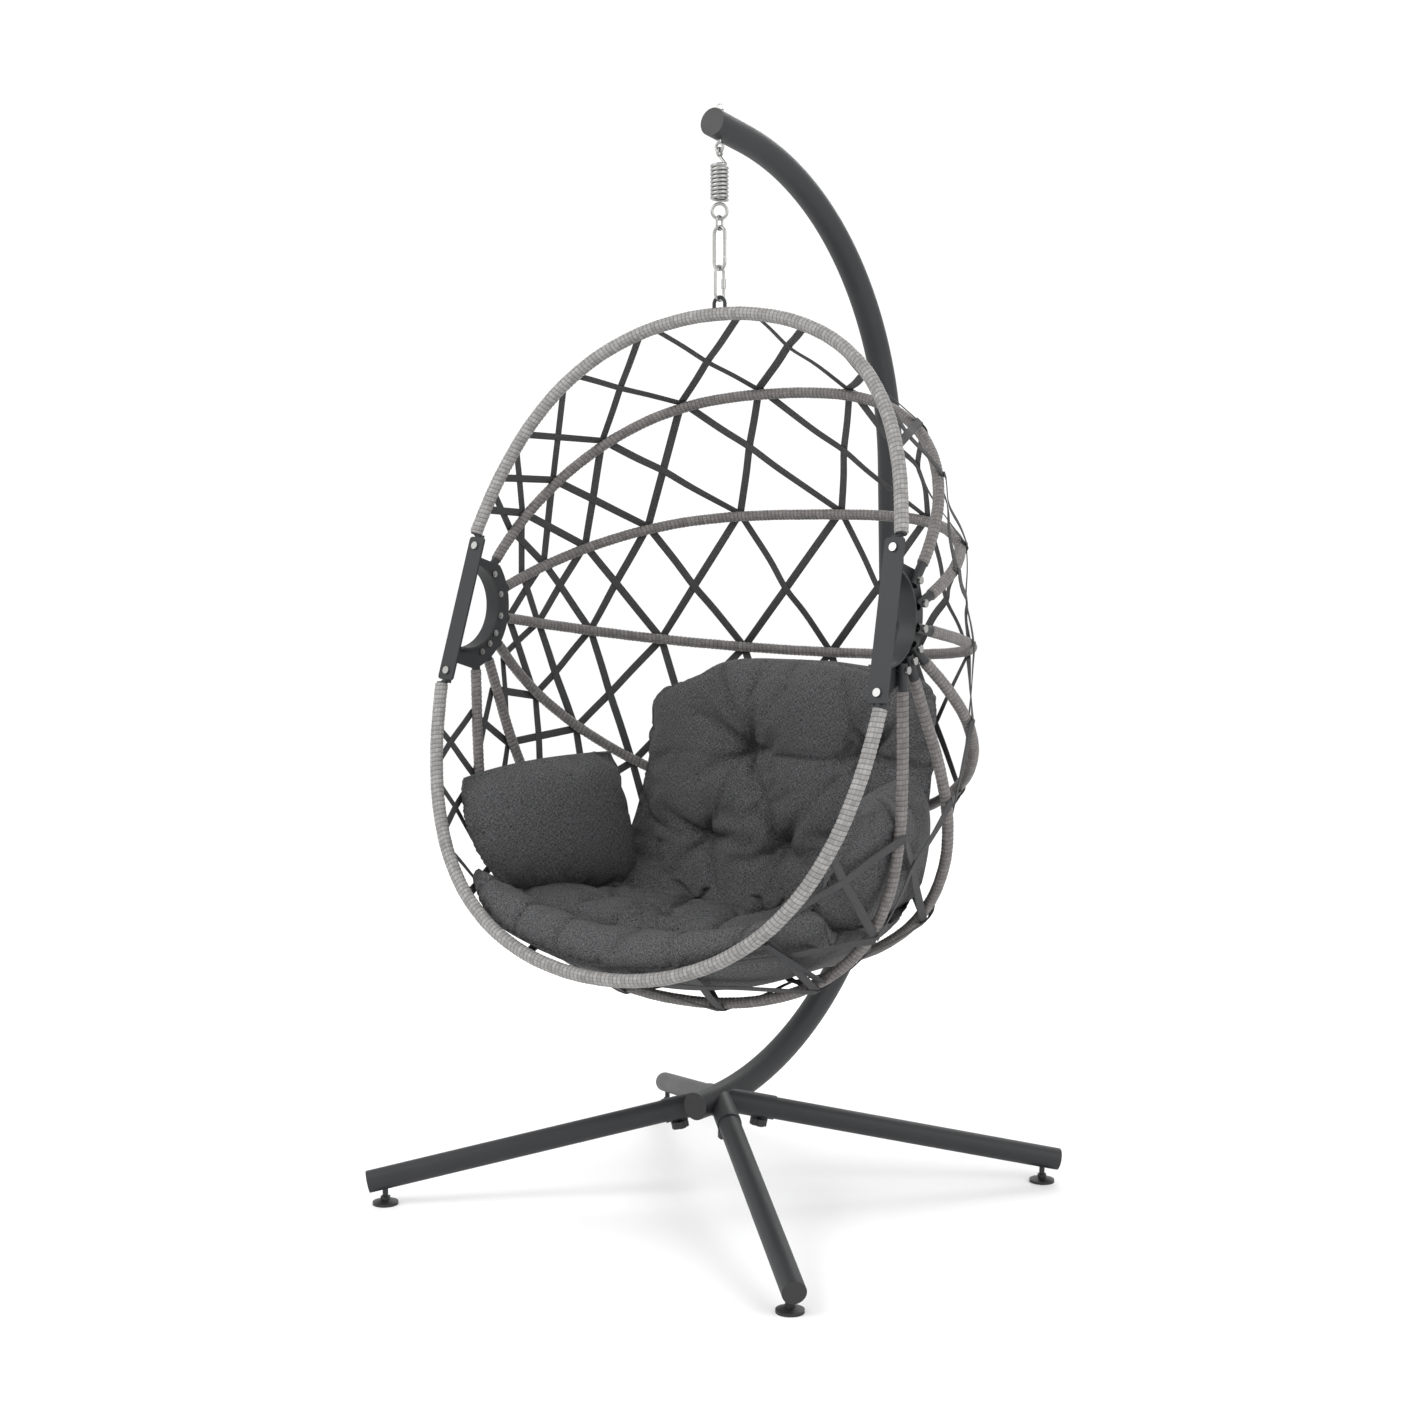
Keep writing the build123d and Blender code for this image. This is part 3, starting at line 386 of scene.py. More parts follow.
per_tile = node(strand_tree, "TexWhiteNoise", {"Vector": seed}, noise_dimensions="3D").outputs["Value"]
per_strand = node(strand_tree, "TexWhiteNoise", {"W": number}, noise_dimensions="1D").outputs["Value"]
edge = math_node(strand_tree, "ABSOLUTE", math_node(strand_tree, "SUBTRACT", across, 0.5))
valley = math_node(strand_tree, "SMOOTH_MIN", math_node(strand_tree, "MULTIPLY", math_node(
    strand_tree, "SUBTRACT", 0.5, edge), 7.0), 1.0, 0.3)
rib_edge = math_node(strand_tree, "ABSOLUTE", math_node(strand_tree, "SUBTRACT", in_tile, 0.5))
groove = math_node(strand_tree, "SMOOTH_MIN", math_node(strand_tree, "MULTIPLY", math_node(
    strand_tree, "SUBTRACT", 0.5, rib_edge), 5.0), 1.0, 0.3)
ridges = math_node(strand_tree, "SINE", math_node(strand_tree, "MULTIPLY", across, 37.7))
streak = node(strand_tree, "TexNoise", {"Vector": strand_in["Vector"], "Scale": 900.0, "Detail": 2.0})
streak = streak.outputs["Fac"]
strand_tone = math_node(strand_tree, "MULTIPLY_ADD", per_strand, 0.12, 0.07)
tone = math_node(strand_tree, "MULTIPLY_ADD", per_tile, 0.22, strand_tone)
tone = math_node(strand_tree, "ADD", tone, math_node(strand_tree, "MULTIPLY_ADD", streak, 0.30, 0.20))
# Painted shade: the strand's tone is darkened towards each strand's edges and towards the grooves between its
# tiles, where shade falls, so each strand's middle stands lighter as a lit crown.
shade = math_node(strand_tree, "MULTIPLY", math_node(strand_tree, "MULTIPLY_ADD", valley, 0.70, 0.30),
                  math_node(strand_tree, "MULTIPLY_ADD", groove, 0.28, 0.72))
strand_tree.links.new(math_node(strand_tree, "MULTIPLY", tone, shade), strand_out["Tone_and_shade"])
body = math_node(strand_tree, "MULTIPLY_ADD", groove, 0.45, math_node(strand_tree, "MULTIPLY", ridges, 0.12))
strand_tree.links.new(math_node(strand_tree, "MULTIPLY_ADD", valley, 0.5, body), strand_out["Height"])


def wicker(name, colours, radius):
    """Wound wicker of that colour, darkened by painted shade between the strands, on a tube of that radius,
    on the piece's own UV map in metres.
    """
    def pattern(output):
        return lambda tree: use_group(tree, strand_tree, {
            "Vector": node(tree, "UVMap", uv_map="UVMap").outputs["UV"],
            "Girth": 2 * math.pi * radius})[output]
    return finish(name, lambda t: blend_colours(t, pattern("Tone_and_shade")(t), *colours),
                  lambda t: math_node(t, "MULTIPLY_ADD", pattern("Tone_and_shade")(t), -0.15, 0.62),
                  pattern("Height"), 0.0004)


hoop_wicker = wicker("pale_grey_wicker", ((0.030, 0.029, 0.028), (0.42, 0.41, 0.40)), HOOP_R)
rib_wicker = wicker("grey_wicker", ((0.020, 0.019, 0.018), (0.238, 0.222, 0.214)), RIB_R)

hoops, ribs = {}, []
for half in ("upper", "lower"):
    hoops[half] = Course(hoop_line(half), -1.5, 1.5)
    limit = hoop_limit(half)
    reach = abs(np.interp(limit, np.linspace(-1.5, 1.5, 1601), hoops[half].s))
    wrap = wound_wrap(f"{half}_hoop_wicker", hoops[half], -reach, reach, HOOP_R, HOOP_COLUMNS)
    wrap.data.materials.append(hoop_wicker)
    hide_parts(f"{half}_hoop_wrap")
    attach(wrap, "basket")

for k in range(6):
    quarter = math.pi / 2
    ribs.append(Course(rib_line(k), -quarter, quarter))
    end, on = ribs[k].points[-1], ribs[k].tangent(ribs[k].s[-1] - 0.002)
    offset = end - np.array([end[0], *HUB_CENTRE])
    b = on @ offset
    to_bolt = -b - math.sqrt(b * b - offset @ offset + HUB_BOLT_R ** 2)
    reach = ribs[k].s[-1] + min(0.0, to_bolt - RIB_BARE)
    wrap = wound_wrap(f"rib_{k + 1}_wicker", ribs[k], -reach, reach, RIB_R, RIB_COLUMNS)
    wrap.data.materials.append(rib_wicker)
    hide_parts(f"rib_{k + 1}_wrap")
    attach(wrap, "basket")

# ---------------------------------------------------------------- straps
# Flat dark webbing runs in two directions over the outside of the ribs, crosses itself between them and on
# them, and is tucked under the hoop's wicker at both ends.
STRAP_WIDTH, STRAP_THICK = 0.0150, 0.0018
HOOP_SPREAD, RIB_SHIFT, OVER_LIFT = 0.014, 0.026, 0.0020
CROSSING_REACH, CROSSING_GAP = 0.045, 1.15
BASKET_MIDDLE = np.array([0.0, -0.040 + BASKET_Y, 1.010])
TIES = [[value / 1000 for value in row] for row in [
    [-650, -585, -492, -345, -161, 60, 209, 390, 545],
    [-625, -585, -499, -381, -213, -46, 156, 353, 506],
    [-625, -570, -477, -351, -165, 63, 270, 467, 590],
    [-735, -659, -538, -390, -227, -48, 150, 350, 560],
    [-770, -649, -540, -410, -250, -60, 150, 390, 655],
    [-840, -722, -560, -390, -200, 0, 180, 400, 678],
    [-790, -671, -500, -320, -120, 97, 304, 455, 634],
    [-700, -600, -470, -330, -150, 30, 207, 360, 540],
]]
TUBES = [hoops["upper"], *ribs, hoops["lower"]]


def outward_at(course, s):
    """The direction square to a tube that points away from the middle of the basket."""
    centre, tangent = course.place(s), course.tangent(s)
    out = centre - BASKET_MIDDLE
    return unit(out - tangent * (out @ tangent))


def over_rib(course, tie, other, lift):
    """Half of a band's way over a rib: from the rib's outermost line along a geodesic, a straight line on the
    unrolled tube, to where it leaves the tube tangentially for the point other. Returns points and normals,
    starting at the free side."""
    radius = RIB_R + STRAP_THICK / 2 + 0.0004 + lift
    middle = outward_at(course, tie)
    s = tie
    for _ in range(4):
        centre, tangent = course.place(s), course.tangent(s)
        way = unit(other - centre)
        out = unit(np.cross(tangent, way))
        out = out if out @ middle > 0 else -out
        to_other = unit(way - tangent * (way @ tangent))
        turn = math.atan2(middle @ -to_other, middle @ out)
        slant = (way @ tangent) / (way @ to_other)
        s = tie + np.clip(radius * max(turn, 0.0) * slant, -RIB_SHIFT, RIB_SHIFT)
    share = np.linspace(0, 1, 8)
    angle = turn * share
    centres = course.place(s + (tie - s) * share)
    normals = np.cos(angle)[:, None] * out - np.sin(angle)[:, None] * to_other
    return centres + radius * normals, normals


def band_along(points, normals):
    """A flat band with rounded edges carried along a path: closed rings, width square to the path."""
    tangent = unit(np.gradient(points, axis=0))
    normals = unit(normals - tangent * np.einsum("ij,ij->i", normals, tangent)[:, None])
    width = np.cross(tangent, normals)
    w, h = STRAP_WIDTH / 2, STRAP_THICK / 2
    across = np.array([-w, -w * 0.93, -w * 0.45, 0, w * 0.45, w * 0.93,
                       w, w * 0.93, w * 0.45, 0, -w * 0.45, -w * 0.93])
    up = np.array([0, h * 0.8, h, h * 1.12, h, h * 0.8, 0, -h * 0.8, -h, -h, -h, -h * 0.8])
    return points[:, None] + across[None, :, None] * width[:, None] + up[None, :, None] * normals[:, None]


def strap_path(row, start, end, over):
    """Middle line of one band from tie start on one tube to tie end on the next: over a rib, straight across
    with a small rise or dip where it meets its partner, over the next rib."""
    a_course, b_course = TUBES[row], TUBES[row + 1]
    a_tie, b_tie = TIES[row][start], TIES[row + 1][end]
    a_tie += HOOP_SPREAD * np.sign(end - start) if row == 0 else 0.0
    b_tie -= HOOP_SPREAD * np.sign(end - start) if row == 6 else 0.0
    lift = OVER_LIFT if over else 0.0
    a_out, b_out = outward_at(a_course, a_tie), outward_at(b_course, b_tie)
    a_mid, b_mid = a_course.place(a_tie) + RIB_R * a_out, b_course.place(b_tie) + RIB_R * b_out
    head, tail = (np.zeros((0, 3)),) * 2, (np.zeros((0, 3)),) * 2
    a, b = a_course.place(a_tie), b_course.place(b_tie)
    if row > 0:
        head = over_rib(a_course, a_tie, b_mid if row < 6 else b, lift)
        a, a_out = head[0][0], head[1][0]
    if row < 6:
        tail = over_rib(b_course, b_tie, a_mid if row > 0 else a, lift)
        b, b_out = tail[0][0], tail[1][0]
    share = np.linspace(0, 1, 28)[:, None]
    straight = a + (b - a) * share
    normals = unit(a_out + (b_out - a_out) * share)
    inside = slice(1 if row > 0 else 0, -1 if row < 6 else None)
    return (head[0][::-1], straight[inside], tail[0]), (head[1][::-1], normals[inside], tail[1])


def crossing(a, b, c, d):
    """Shares along two lines where they pass closest, and the step from the first to the second there."""
    u, v, w = b - a, d - c, a - c
    uu, uv, vv, uw, vw = u @ u, u @ v, v @ v, u @ w, v @ w
    k = uu * vv - uv * uv
    s, t = (uv * vw - vv * uw) / k, (uu * vw - uv * uw) / k
    return s, t, (c + v * t) - (a + u * s)


def webbing_row(row):
    """All the bands between two neighbouring tubes, as one piece."""
    points, faces, uvs, count = [], [], [], 0
    for k in range(8):
        pair = [strap_path(row, k, k + 1, False), strap_path(row, k + 1, k, True)]
        (a, b), (c, d) = [(p[0][1][0], p[0][1][-1]) for p in pair]
        at_first, at_second, step = crossing(a, b, c, d)
        for (path, normal), at, sign in zip(pair, (at_first, at_second), (-1, 1)):
            middle = path[1]
            length = np.linalg.norm(middle[-1] - middle[0])
            normals = normal[1]
            out = normals[len(normals) // 2]
            lift = (STRAP_THICK * CROSSING_GAP - step @ out) / 2
            share = np.linspace(0, 1, len(middle))
            bump = np.exp(-(((share - at) * length) / CROSSING_REACH) ** 2)[:, None]
            fade = np.sin(math.pi * share).clip(0, 1)[:, None] ** 0.5
            middle = middle + sign * lift * bump * fade * out
            line = np.concatenate([path[0], middle, path[2]])
            normals = np.concatenate([normal[0], normals, normal[2]])
            rings = band_along(line, normals)
            s = np.concatenate([[0], np.cumsum(np.linalg.norm(np.diff(line, axis=0), axis=1))])
            strap_faces, uv = carried(rings, s + 0.37 * (k + 8 * row), np.linspace(0, 2 * STRAP_WIDTH, 13))
            faces += [[c + count for c in f] for f in strap_faces]
            points.append(rings.reshape(-1, 3))
            uvs.append(uv)
            count += rings.shape[0] * rings.shape[1]
    return add_object(f"webbing_row_{row + 1}", np.concatenate(points), faces, np.concatenate(uvs))


weave_tree, weave_in, weave_out = group(
    "woven_cloth",
    [("Vector", "NodeSocketVector", None), ("Thread", "NodeSocketFloat", 0.001),
     ("Slub", "NodeSocketFloat", 0.5)],
    ["Tone_and_shade", "Height"])
per_metre = math_node(weave_tree, "DIVIDE", 1.0, weave_in["Thread"])
scaled = node(weave_tree, "VectorMath", {0: weave_in["Vector"], "Scale": per_metre}, operation="SCALE")
scaled = scaled.outputs[0]
axes = node(weave_tree, "SeparateXYZ", {"Vector": scaled})


def thread(way, other):
    """One set of threads: a rounded ridge across each, and a tone for each length of yarn."""
    line = math_node(weave_tree, "FLOOR", axes.outputs[way])
    ridge = math_node(weave_tree, "SINE", math_node(weave_tree, "MULTIPLY", math_node(
        weave_tree, "FRACT", axes.outputs[way]), math.pi))
    stretch = node(weave_tree, "CombineXYZ", {0: line, 1: math_node(
        weave_tree, "MULTIPLY", axes.outputs[other], 0.28)}).outputs[0]
    yarn = node(weave_tree, "TexNoise", {"Vector": stretch, "Scale": 1.0, "Detail": 2.0, "Roughness": 0.7})
    return ridge, yarn.outputs["Fac"]


warp, warp_tone = thread("X", "Y")
weft, weft_tone = thread("Y", "X")
checker = node(weave_tree, "TexChecker", {"Vector": scaled, "Scale": 1.0, "Color1": (1, 1, 1, 1),
                                          "Color2": (0, 0, 0, 1)}).outputs["Fac"]
height = node(weave_tree, "Mix", {"Factor": checker, "A": warp, "B": weft}, data_type="FLOAT")
height = height.outputs["Result"]
yarn_tone = node(weave_tree, "Mix", {"Factor": checker, "A": warp_tone, "B": weft_tone},
                 data_type="FLOAT").outputs["Result"]
cloudy = node(weave_tree, "TexNoise", {"Vector": weave_in["Vector"], "Scale": 60.0, "Detail": 4.0})
cloudy = cloudy.outputs["Fac"]
sharp = math_node(weave_tree, "MULTIPLY_ADD", math_node(weave_tree, "SUBTRACT", yarn_tone, 0.5),
                  math_node(weave_tree, "MULTIPLY", weave_in["Slub"], 4.0), 0.42)
tone = math_node(weave_tree, "ADD", sharp, math_node(weave_tree, "MULTIPLY", math_node(
    weave_tree, "SUBTRACT", cloudy, 0.5), 0.16))
# Painted shade: the cloth's tone is darkened where the weave is low, between the threads.
shade = math_node(weave_tree, "MULTIPLY_ADD", height, 0.45, 0.62)
weave_tree.links.new(math_node(weave_tree, "MULTIPLY", tone, shade), weave_out["Tone_and_shade"])
weave_tree.links.new(height, weave_out["Height"])


def woven(name, colours, thread_size, slub, depth, extra=()):
    """Woven cloth on the piece's own UV map in metres, with painted shade where the weave dips between
    threads.
    """
    def pattern(output):
        return lambda tree: use_group(tree, weave_tree, {
            "Vector": node(tree, "UVMap", uv_map="UVMap").outputs["UV"],
            "Thread": thread_size, "Slub": slub})[output]
    return finish(name, lambda t: blend_colours(t, pattern("Tone_and_shade")(t), *colours),
                  lambda t: math_node(t, "MULTIPLY_ADD", pattern("Tone_and_shade")(t), -0.1, 0.9),
                  pattern("Height"), depth, 0.0, extra)


WEBBING_GREY = (0.022, 0.022, 0.023), (0.095, 0.095, 0.098)
webbing = woven("dark_webbing", WEBBING_GREY, 0.0013, 0.35, 0.0003)
for row in range(7):
    straps = webbing_row(row)
    straps.data.materials.append(webbing)
    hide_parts(f"strap_row_{row + 1}")
    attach(straps, "basket")

# ---------------------------------------------------------------- seat and back cushion
# One padded piece for seat and back, sewn from dark heathered cloth and filled with fibre. Stitched tufts
# and the folds between them pull its face down, and a channel sets off the roll along the front.
# The crest's height is that of the roll at the middle, and the roll rises towards its ends.
SEAT_CREST_Z, SIDE_RISE, RISE_AT = 0.550, 0.064, 0.32
CLEAR_OF_RIBS, PAD_INSIDE = 0.021, (-0.12, 0.82)
SEAM_OVER_HOOP, SEAM_BELOW_CREST, LEAST_PAD = 0.001, 0.074, 0.012
PAD_ROWS, PAD_COLUMNS = 200, 140
# half width of the pad, and place along the basket from hoop to ribs 6, 5, 4 and 3 (0 to 4)
HALF_WIDTHS = [0.300, 0.342, 0.366, 0.374, 0.370, 0.352, 0.334, 0.324, 0.320, 0.314, 0.296, 0.246]
FLOOR_TUBES = [hoops["lower"], ribs[5], ribs[4], ribs[3], ribs[2]]
FLOOR_PLACES = [0.10, 0.16, 0.38, 0.80, 1.30, 1.90, 2.60, 3.10, 3.42, 3.72, 3.88, 3.94]
# face of the pad at the same places: y, from the hoop for the first three, and z from the seat's crest
FACE = [(0.021, 0.0), (0.024, -0.036), (0.066, -0.012), (-0.286, -0.030), (-0.170, -0.014), (-0.055, -0.028),
        (0.030, -0.018), (0.070, 0.152), (0.084, 0.252), (0.080, 0.342), (0.090, 0.394), (0.140, 0.414)]
# at the same places, the share left of the sides' rise, and how far the corners drop
RISE_LEFT = [1, 1, 1, 0.55, 0.30, 0.35, 0.45, 0, 0, 0, 0, 0]
CORNER_DROP = [0] * 9 + [0.016, 0.040, 0.068]
# tufts: x, then y on the seat or z on the back, and how deep they pull
BACK_TUFTS = [(-0.063, 0.796, 0.056), (0.200, 0.805, 0.046), (-0.144, 0.624, 0.054),
              (0.033, 0.614, 0.052), (0.205, 0.640, 0.046), (-0.300, 0.668, 0.014)]
SEAT_TUFTS = [(-0.125, -0.010, 0.040), (0.025, -0.015, 0.044), (0.185, -0.010, 0.040),
              (-0.200, -0.140, 0.028), (-0.060, -0.160, 0.036), (0.100, -0.150, 0.034),
              (0.250, -0.130, 0.022), (-0.300, -0.280, 0.016), (-0.197, -0.288, 0.026),
              (-0.088, -0.292, 0.028), (0.025, -0.292, 0.028), (0.140, -0.290, 0.026),
              (0.250, -0.285, 0.020)]
# A fold runs from a tuft, given by its number, to another tuft or to a point of the face, given in metres
# across and along the cloth.
BACK_FOLDS = [(0, 2), (0, 3), (0, 1), (2, 3), (3, 4), (1, 4), (2, 5), (0, (-0.115, 0.93)),
              (0, (-0.035, 0.93)), (0, (0.035, 0.92)), (1, (0.150, 0.93)), (1, (0.235, 0.92)),
              (3, (0.140, 0.75)), (2, (-0.250, 0.58))]
SEAT_FOLDS = [(0, 1), (1, 2), (0, 3), (0, 4), (1, 4), (1, 5), (2, 5), (2, 6), (3, 8), (4, 9), (4, 10),
              (5, 10), (5, 11), (8, (-0.205, 0.000)), (9, (-0.096, 0.000)), (10, (0.022, 0.000)),
              (11, (0.145, 0.000)), (12, (0.262, 0.020)), (7, (-0.315, 0.020))]
TUFT_SPREAD, TUFT_HOLD, TUFT_RAYS, RAY_REACH = 0.021, 0.007, 5, 0.9
FOLD_SWAY, FOLD_FADE, DEEPEST = 0.006, 0.35, 0.75
FOLD_DEPTH, FOLD_WIDTH, FOLD_HOLD = 0.017, 0.0080, 0.0035
CHANNEL_ROW, CHANNEL_DEPTH, CHANNEL_WIDTH = 2.85, 0.022, 0.20


def beside(course, x):
    """(y, z) of a rib or of the lower hoop at distances x from the middle plane."""
    half = course.points[800:]
    half = half[:np.argmax(half[:, 0])]
    return np.stack([np.interp(abs(x), half[:, 0], half[:, k]) for k in (1, 2)], -1)


def smooth_rows(control, count):
    """A Catmull-Rom curve through rows of control points, sampled at count rows."""
    spread = np.concatenate([2 * control[:1] - control[1:2], control, 2 * control[-1:] - control[-2:-1]])
    t = np.linspace(0, len(control) - 1, count)
    i = np.minimum(t.astype(int), len(control) - 2)
    f = (t - i).reshape(-1, *[1] * (control.ndim - 1))
    a, b, c, d = (spread[i + k] for k in range(4))
    return 0.5 * (2 * b + (c - a) * f + (2 * a - 5 * b + 4 * c - d) * f ** 2
                  + (3 * b - a - 3 * c + d) * f ** 3)


def seat_sheets():
    """Upper and lower sheet of the pad: its face and the basket's inside are followed from front to top,
    and both draw together towards the side seams as the root of one minus the cube of the way across."""
    u = np.linspace(-1, 1, PAD_COLUMNS)
    u = 0.6 * u + 0.4 * np.sin(u * math.pi / 2)
    upper, lower = [], []
    for index, (half, place, (y, z)) in enumerate(zip(HALF_WIDTHS, FLOOR_PLACES, FACE)):
        x = half * u
        line = np.stack([beside(tube, x) for tube in FLOOR_TUBES])
        k = min(int(place), 3)
        below = line[k] + (line[k + 1] - line[k]) * (place - k)
        below = below + unit(np.array(PAD_INSIDE) - below) * CLEAR_OF_RIBS
        rise = SIDE_RISE * np.minimum(abs(x) / RISE_AT, 1) ** 2
        crest = SEAT_CREST_Z + rise
        hoop_y, hoop_z = line[0][:, 0], line[0][:, 1]
        if index == 0:
            seam_z = np.maximum(hoop_z + SEAM_OVER_HOOP, crest - SEAM_BELOW_CREST)
            above = below = np.stack([hoop_y + y, seam_z], -1)
        elif index < 3:
            above = np.stack([hoop_y + y, np.maximum(crest + z, below[:, 1] + LEAST_PAD)], -1)
        else:
            corner = CORNER_DROP[index] * abs(u) ** 4
            above = np.stack([np.full_like(x, y), SEAT_CREST_Z + z + rise * RISE_LEFT[index] - corner], -1)
        if index > 8:
            below[:, 1] = np.minimum(below[:, 1], above[:, 1] - 0.004)
        if index == len(FACE) - 1:
            below = above
        draw = np.sqrt(np.clip(1 - abs(u) ** 3, 0, 1))[:, None]
        middle, half_gap = (above + below) / 2, (above - below) / 2
        upper.append(np.column_stack([x, middle + half_gap * draw]))
        lower.append(np.column_stack([x, middle - half_gap * draw]))
    return smooth_rows(np.array(upper), PAD_ROWS), smooth_rows(np.array(lower), PAD_ROWS)


def pad_object(name, upper, lower):
    """A closed pad from two sheets of one grid that share their edges, with UVs in metres. Returns the object
    and the vertex numbers of both sheets."""
    rows, columns = upper.shape[:2]
    top = np.arange(rows * columns).reshape(rows, columns)
    under = top.copy()
    under[1:-1, 1:-1] = rows * columns + np.arange((rows - 2) * (columns - 2)).reshape(rows - 2, columns - 2)
    points = np.concatenate([upper.reshape(-1, 3), lower[1:-1, 1:-1].reshape(-1, 3)])
    i, j = np.meshgrid(np.arange(rows - 1), np.arange(columns - 1), indexing="ij")
    corners = [(i, j), (i, j + 1), (i + 1, j + 1), (i + 1, j)]
    down = np.append(0, np.cumsum(np.linalg.norm(np.diff(upper[:, columns // 2], axis=0), axis=1)))
    across = np.append(0, np.cumsum(np.linalg.norm(np.diff(upper[rows // 2], axis=0), axis=1)))
    faces, uv = [], []
    for sheet, order in ((top, corners), (under, corners[::-1])):
        faces.append(np.stack([sheet[a, b] for a, b in order], -1).reshape(-1, 4))
        uv.append(np.stack([np.stack([across[b], down[a]], -1) for a, b in order], 2).reshape(-1, 2))
    return add_object(name, points, np.concatenate(faces).tolist(), np.concatenate(uv)), top, under


def vertices_of(mesh):
    flat = np.zeros(len(mesh.vertices) * 3, np.float32)
    mesh.vertices.foreach_get("co", flat)
    return flat.reshape(-1, 3).astype(float)


CLOTH_QUALITY, CLOTH_MASS = 5, 0.25
STRETCH_STIFFNESS, SHEAR_STIFFNESS, BENDING_STIFFNESS = 12, 6, 0.1


def swell(piece, held, pressure, slack, cap, frames=20):
    """Cloth simulation of the filling's pressure with the stitched points held, applied to the mesh. No point
    moves further than cap, towards which the move levels off."""
    rest = vertices_of(piece.data)
    stitched = piece.vertex_groups.new(name="stitched")
    stitched.add([int(i) for i in np.unique(held)], 1.0, "REPLACE")
    cloth = piece.modifiers.new("filling", "CLOTH")
    set_to = cloth.settings
    set_to.quality, set_to.mass = CLOTH_QUALITY, CLOTH_MASS
    set_to.tension_stiffness = set_to.compression_stiffness = STRETCH_STIFFNESS
    set_to.shear_stiffness, set_to.bending_stiffness = SHEAR_STIFFNESS, BENDING_STIFFNESS
    set_to.use_pressure, set_to.uniform_pressure_force = True, pressure
    set_to.shrink_min = -slack
    set_to.vertex_group_mass = "stitched"
    set_to.effector_weights.gravity = 0
    cloth.collision_settings.use_collision = False
    cloth.point_cache.frame_start, cloth.point_cache.frame_end = 1, frames
    for number in range(1, frames + 1):
        bpy.context.scene.frame_set(number)
    puffed = piece.evaluated_get(bpy.context.evaluated_depsgraph_get())
    move = vertices_of(puffed.to_mesh()) - rest
    puffed.to_mesh_clear()
    far = np.maximum(np.linalg.norm(move, axis=1), 1e-9)
    piece.modifiers.remove(cloth)
    piece.vertex_groups.remove(stitched)
    bpy.context.scene.frame_set(1)
    settled = rest + move * (cap * np.tanh(far / cap) / far)[:, None]
    piece.data.vertices.foreach_set("co", settled.astype(np.float32).ravel())
    piece.data.update()


def pull_tufts(sheet, towards, first_row, last_row, tufts, key, folds, share=1.0):
    """Draws a sheet towards the other one where it is stitched and folded, over the rows given. A tuft is a
    bell whose spread grows along a few rays, and a fold is a narrow valley between two points. Both are
    measured on the cloth, across and along it. Returns the sheet and a mask of the points that are held."""
    gap_way = towards - sheet
    thick = np.linalg.norm(gap_way, axis=-1)
    way = gap_way / np.maximum(thick, 1e-6)[..., None]
    rows = np.arange(len(sheet))[:, None] + np.zeros(sheet.shape[1])
    inside = (rows >= first_row) & (rows <= last_row)
    steps = np.linalg.norm(np.diff(sheet, axis=0), axis=-1)
    along = np.concatenate([np.zeros((1, sheet.shape[1])), np.cumsum(steps, axis=0)])
    along = along - along[first_row] + along[first_row].mean()
    across = sheet[..., 0]
    near = [np.argmin(np.where(inside, np.hypot(across - x, sheet[..., key] - where), 9))
            for x, where, _ in tufts]
    spots = [np.array([across.flat[i], along.flat[i]]) for i in near]
    held, dent = np.zeros(inside.shape, bool), np.zeros(inside.shape)
    for number, (spot, (_, _, depth)) in enumerate(zip(spots, tufts)):
        dx, ds = across - spot[0], along - spot[1]
        rays = abs(np.cos(np.arctan2(ds, dx) * TUFT_RAYS / 2 + number * 1.3)) ** 6
        gap = np.hypot(dx, ds)
        dent = np.maximum(dent, depth * np.exp(-(gap / (TUFT_SPREAD * (1 + RAY_REACH * rays))) ** 1.3))
        held |= gap < TUFT_HOLD
    for number, fold in enumerate(folds):
        a, b = (spots[end] if isinstance(end, int) else np.array(end) for end in fold)
        line = b - a
        t = np.clip(((across - a[0]) * line[0] + (along - a[1]) * line[1]) / (line @ line), 0, 1)
        sway = FOLD_SWAY * np.sin(math.pi * t) * (-1) ** number
        gap = np.hypot(across - a[0] - t * line[0] + sway, along - a[1] - t * line[1] + sway)
        loose_end = not isinstance(fold[1], int)
        depth = FOLD_DEPTH * (1 - FOLD_FADE * np.sin(math.pi * t)) * (1 - 0.5 * t * loose_end)
        dent = np.maximum(dent, depth * np.exp(-(gap / FOLD_WIDTH) ** 1.2))
        held |= (gap < FOLD_HOLD) & (depth > 0.55 * FOLD_DEPTH)
    dent = np.where(inside, dent * share, 0)
    return sheet + way * np.minimum(dent, thick * DEEPEST)[..., None], held & inside


upper, lower = seat_sheets()
bend_row = int(6.0 / (len(FACE) - 1) * PAD_ROWS)
channel = np.linspace(0, len(FACE) - 1, PAD_ROWS)[:, None] + np.zeros(PAD_COLUMNS)
upper[..., 2] -= CHANNEL_DEPTH * np.exp(-((channel - CHANNEL_ROW) / CHANNEL_WIDTH) ** 2)
rear = lower.copy()
lower, _ = pull_tufts(lower, upper, bend_row, PAD_ROWS, BACK_TUFTS, 2, BACK_FOLDS, 0.4)
upper, held_back = pull_tufts(upper, rear, bend_row, PAD_ROWS, BACK_TUFTS, 2, BACK_FOLDS)
upper, held_seat = pull_tufts(upper, rear, 1, bend_row - 1, SEAT_TUFTS, 1, SEAT_FOLDS)
cushion, top, under = pad_object("seat_back_pad", upper, lower)
edge_of_pad = np.concatenate([top[0], top[-1], top[:, 0], top[:, -1]])
FACE_CAP, REAR_CAP, PAD_PRESSURE, PAD_SLACK = 0.014, 0.007, 2.6, 0.08
caps = np.full(len(cushion.data.vertices), FACE_CAP)
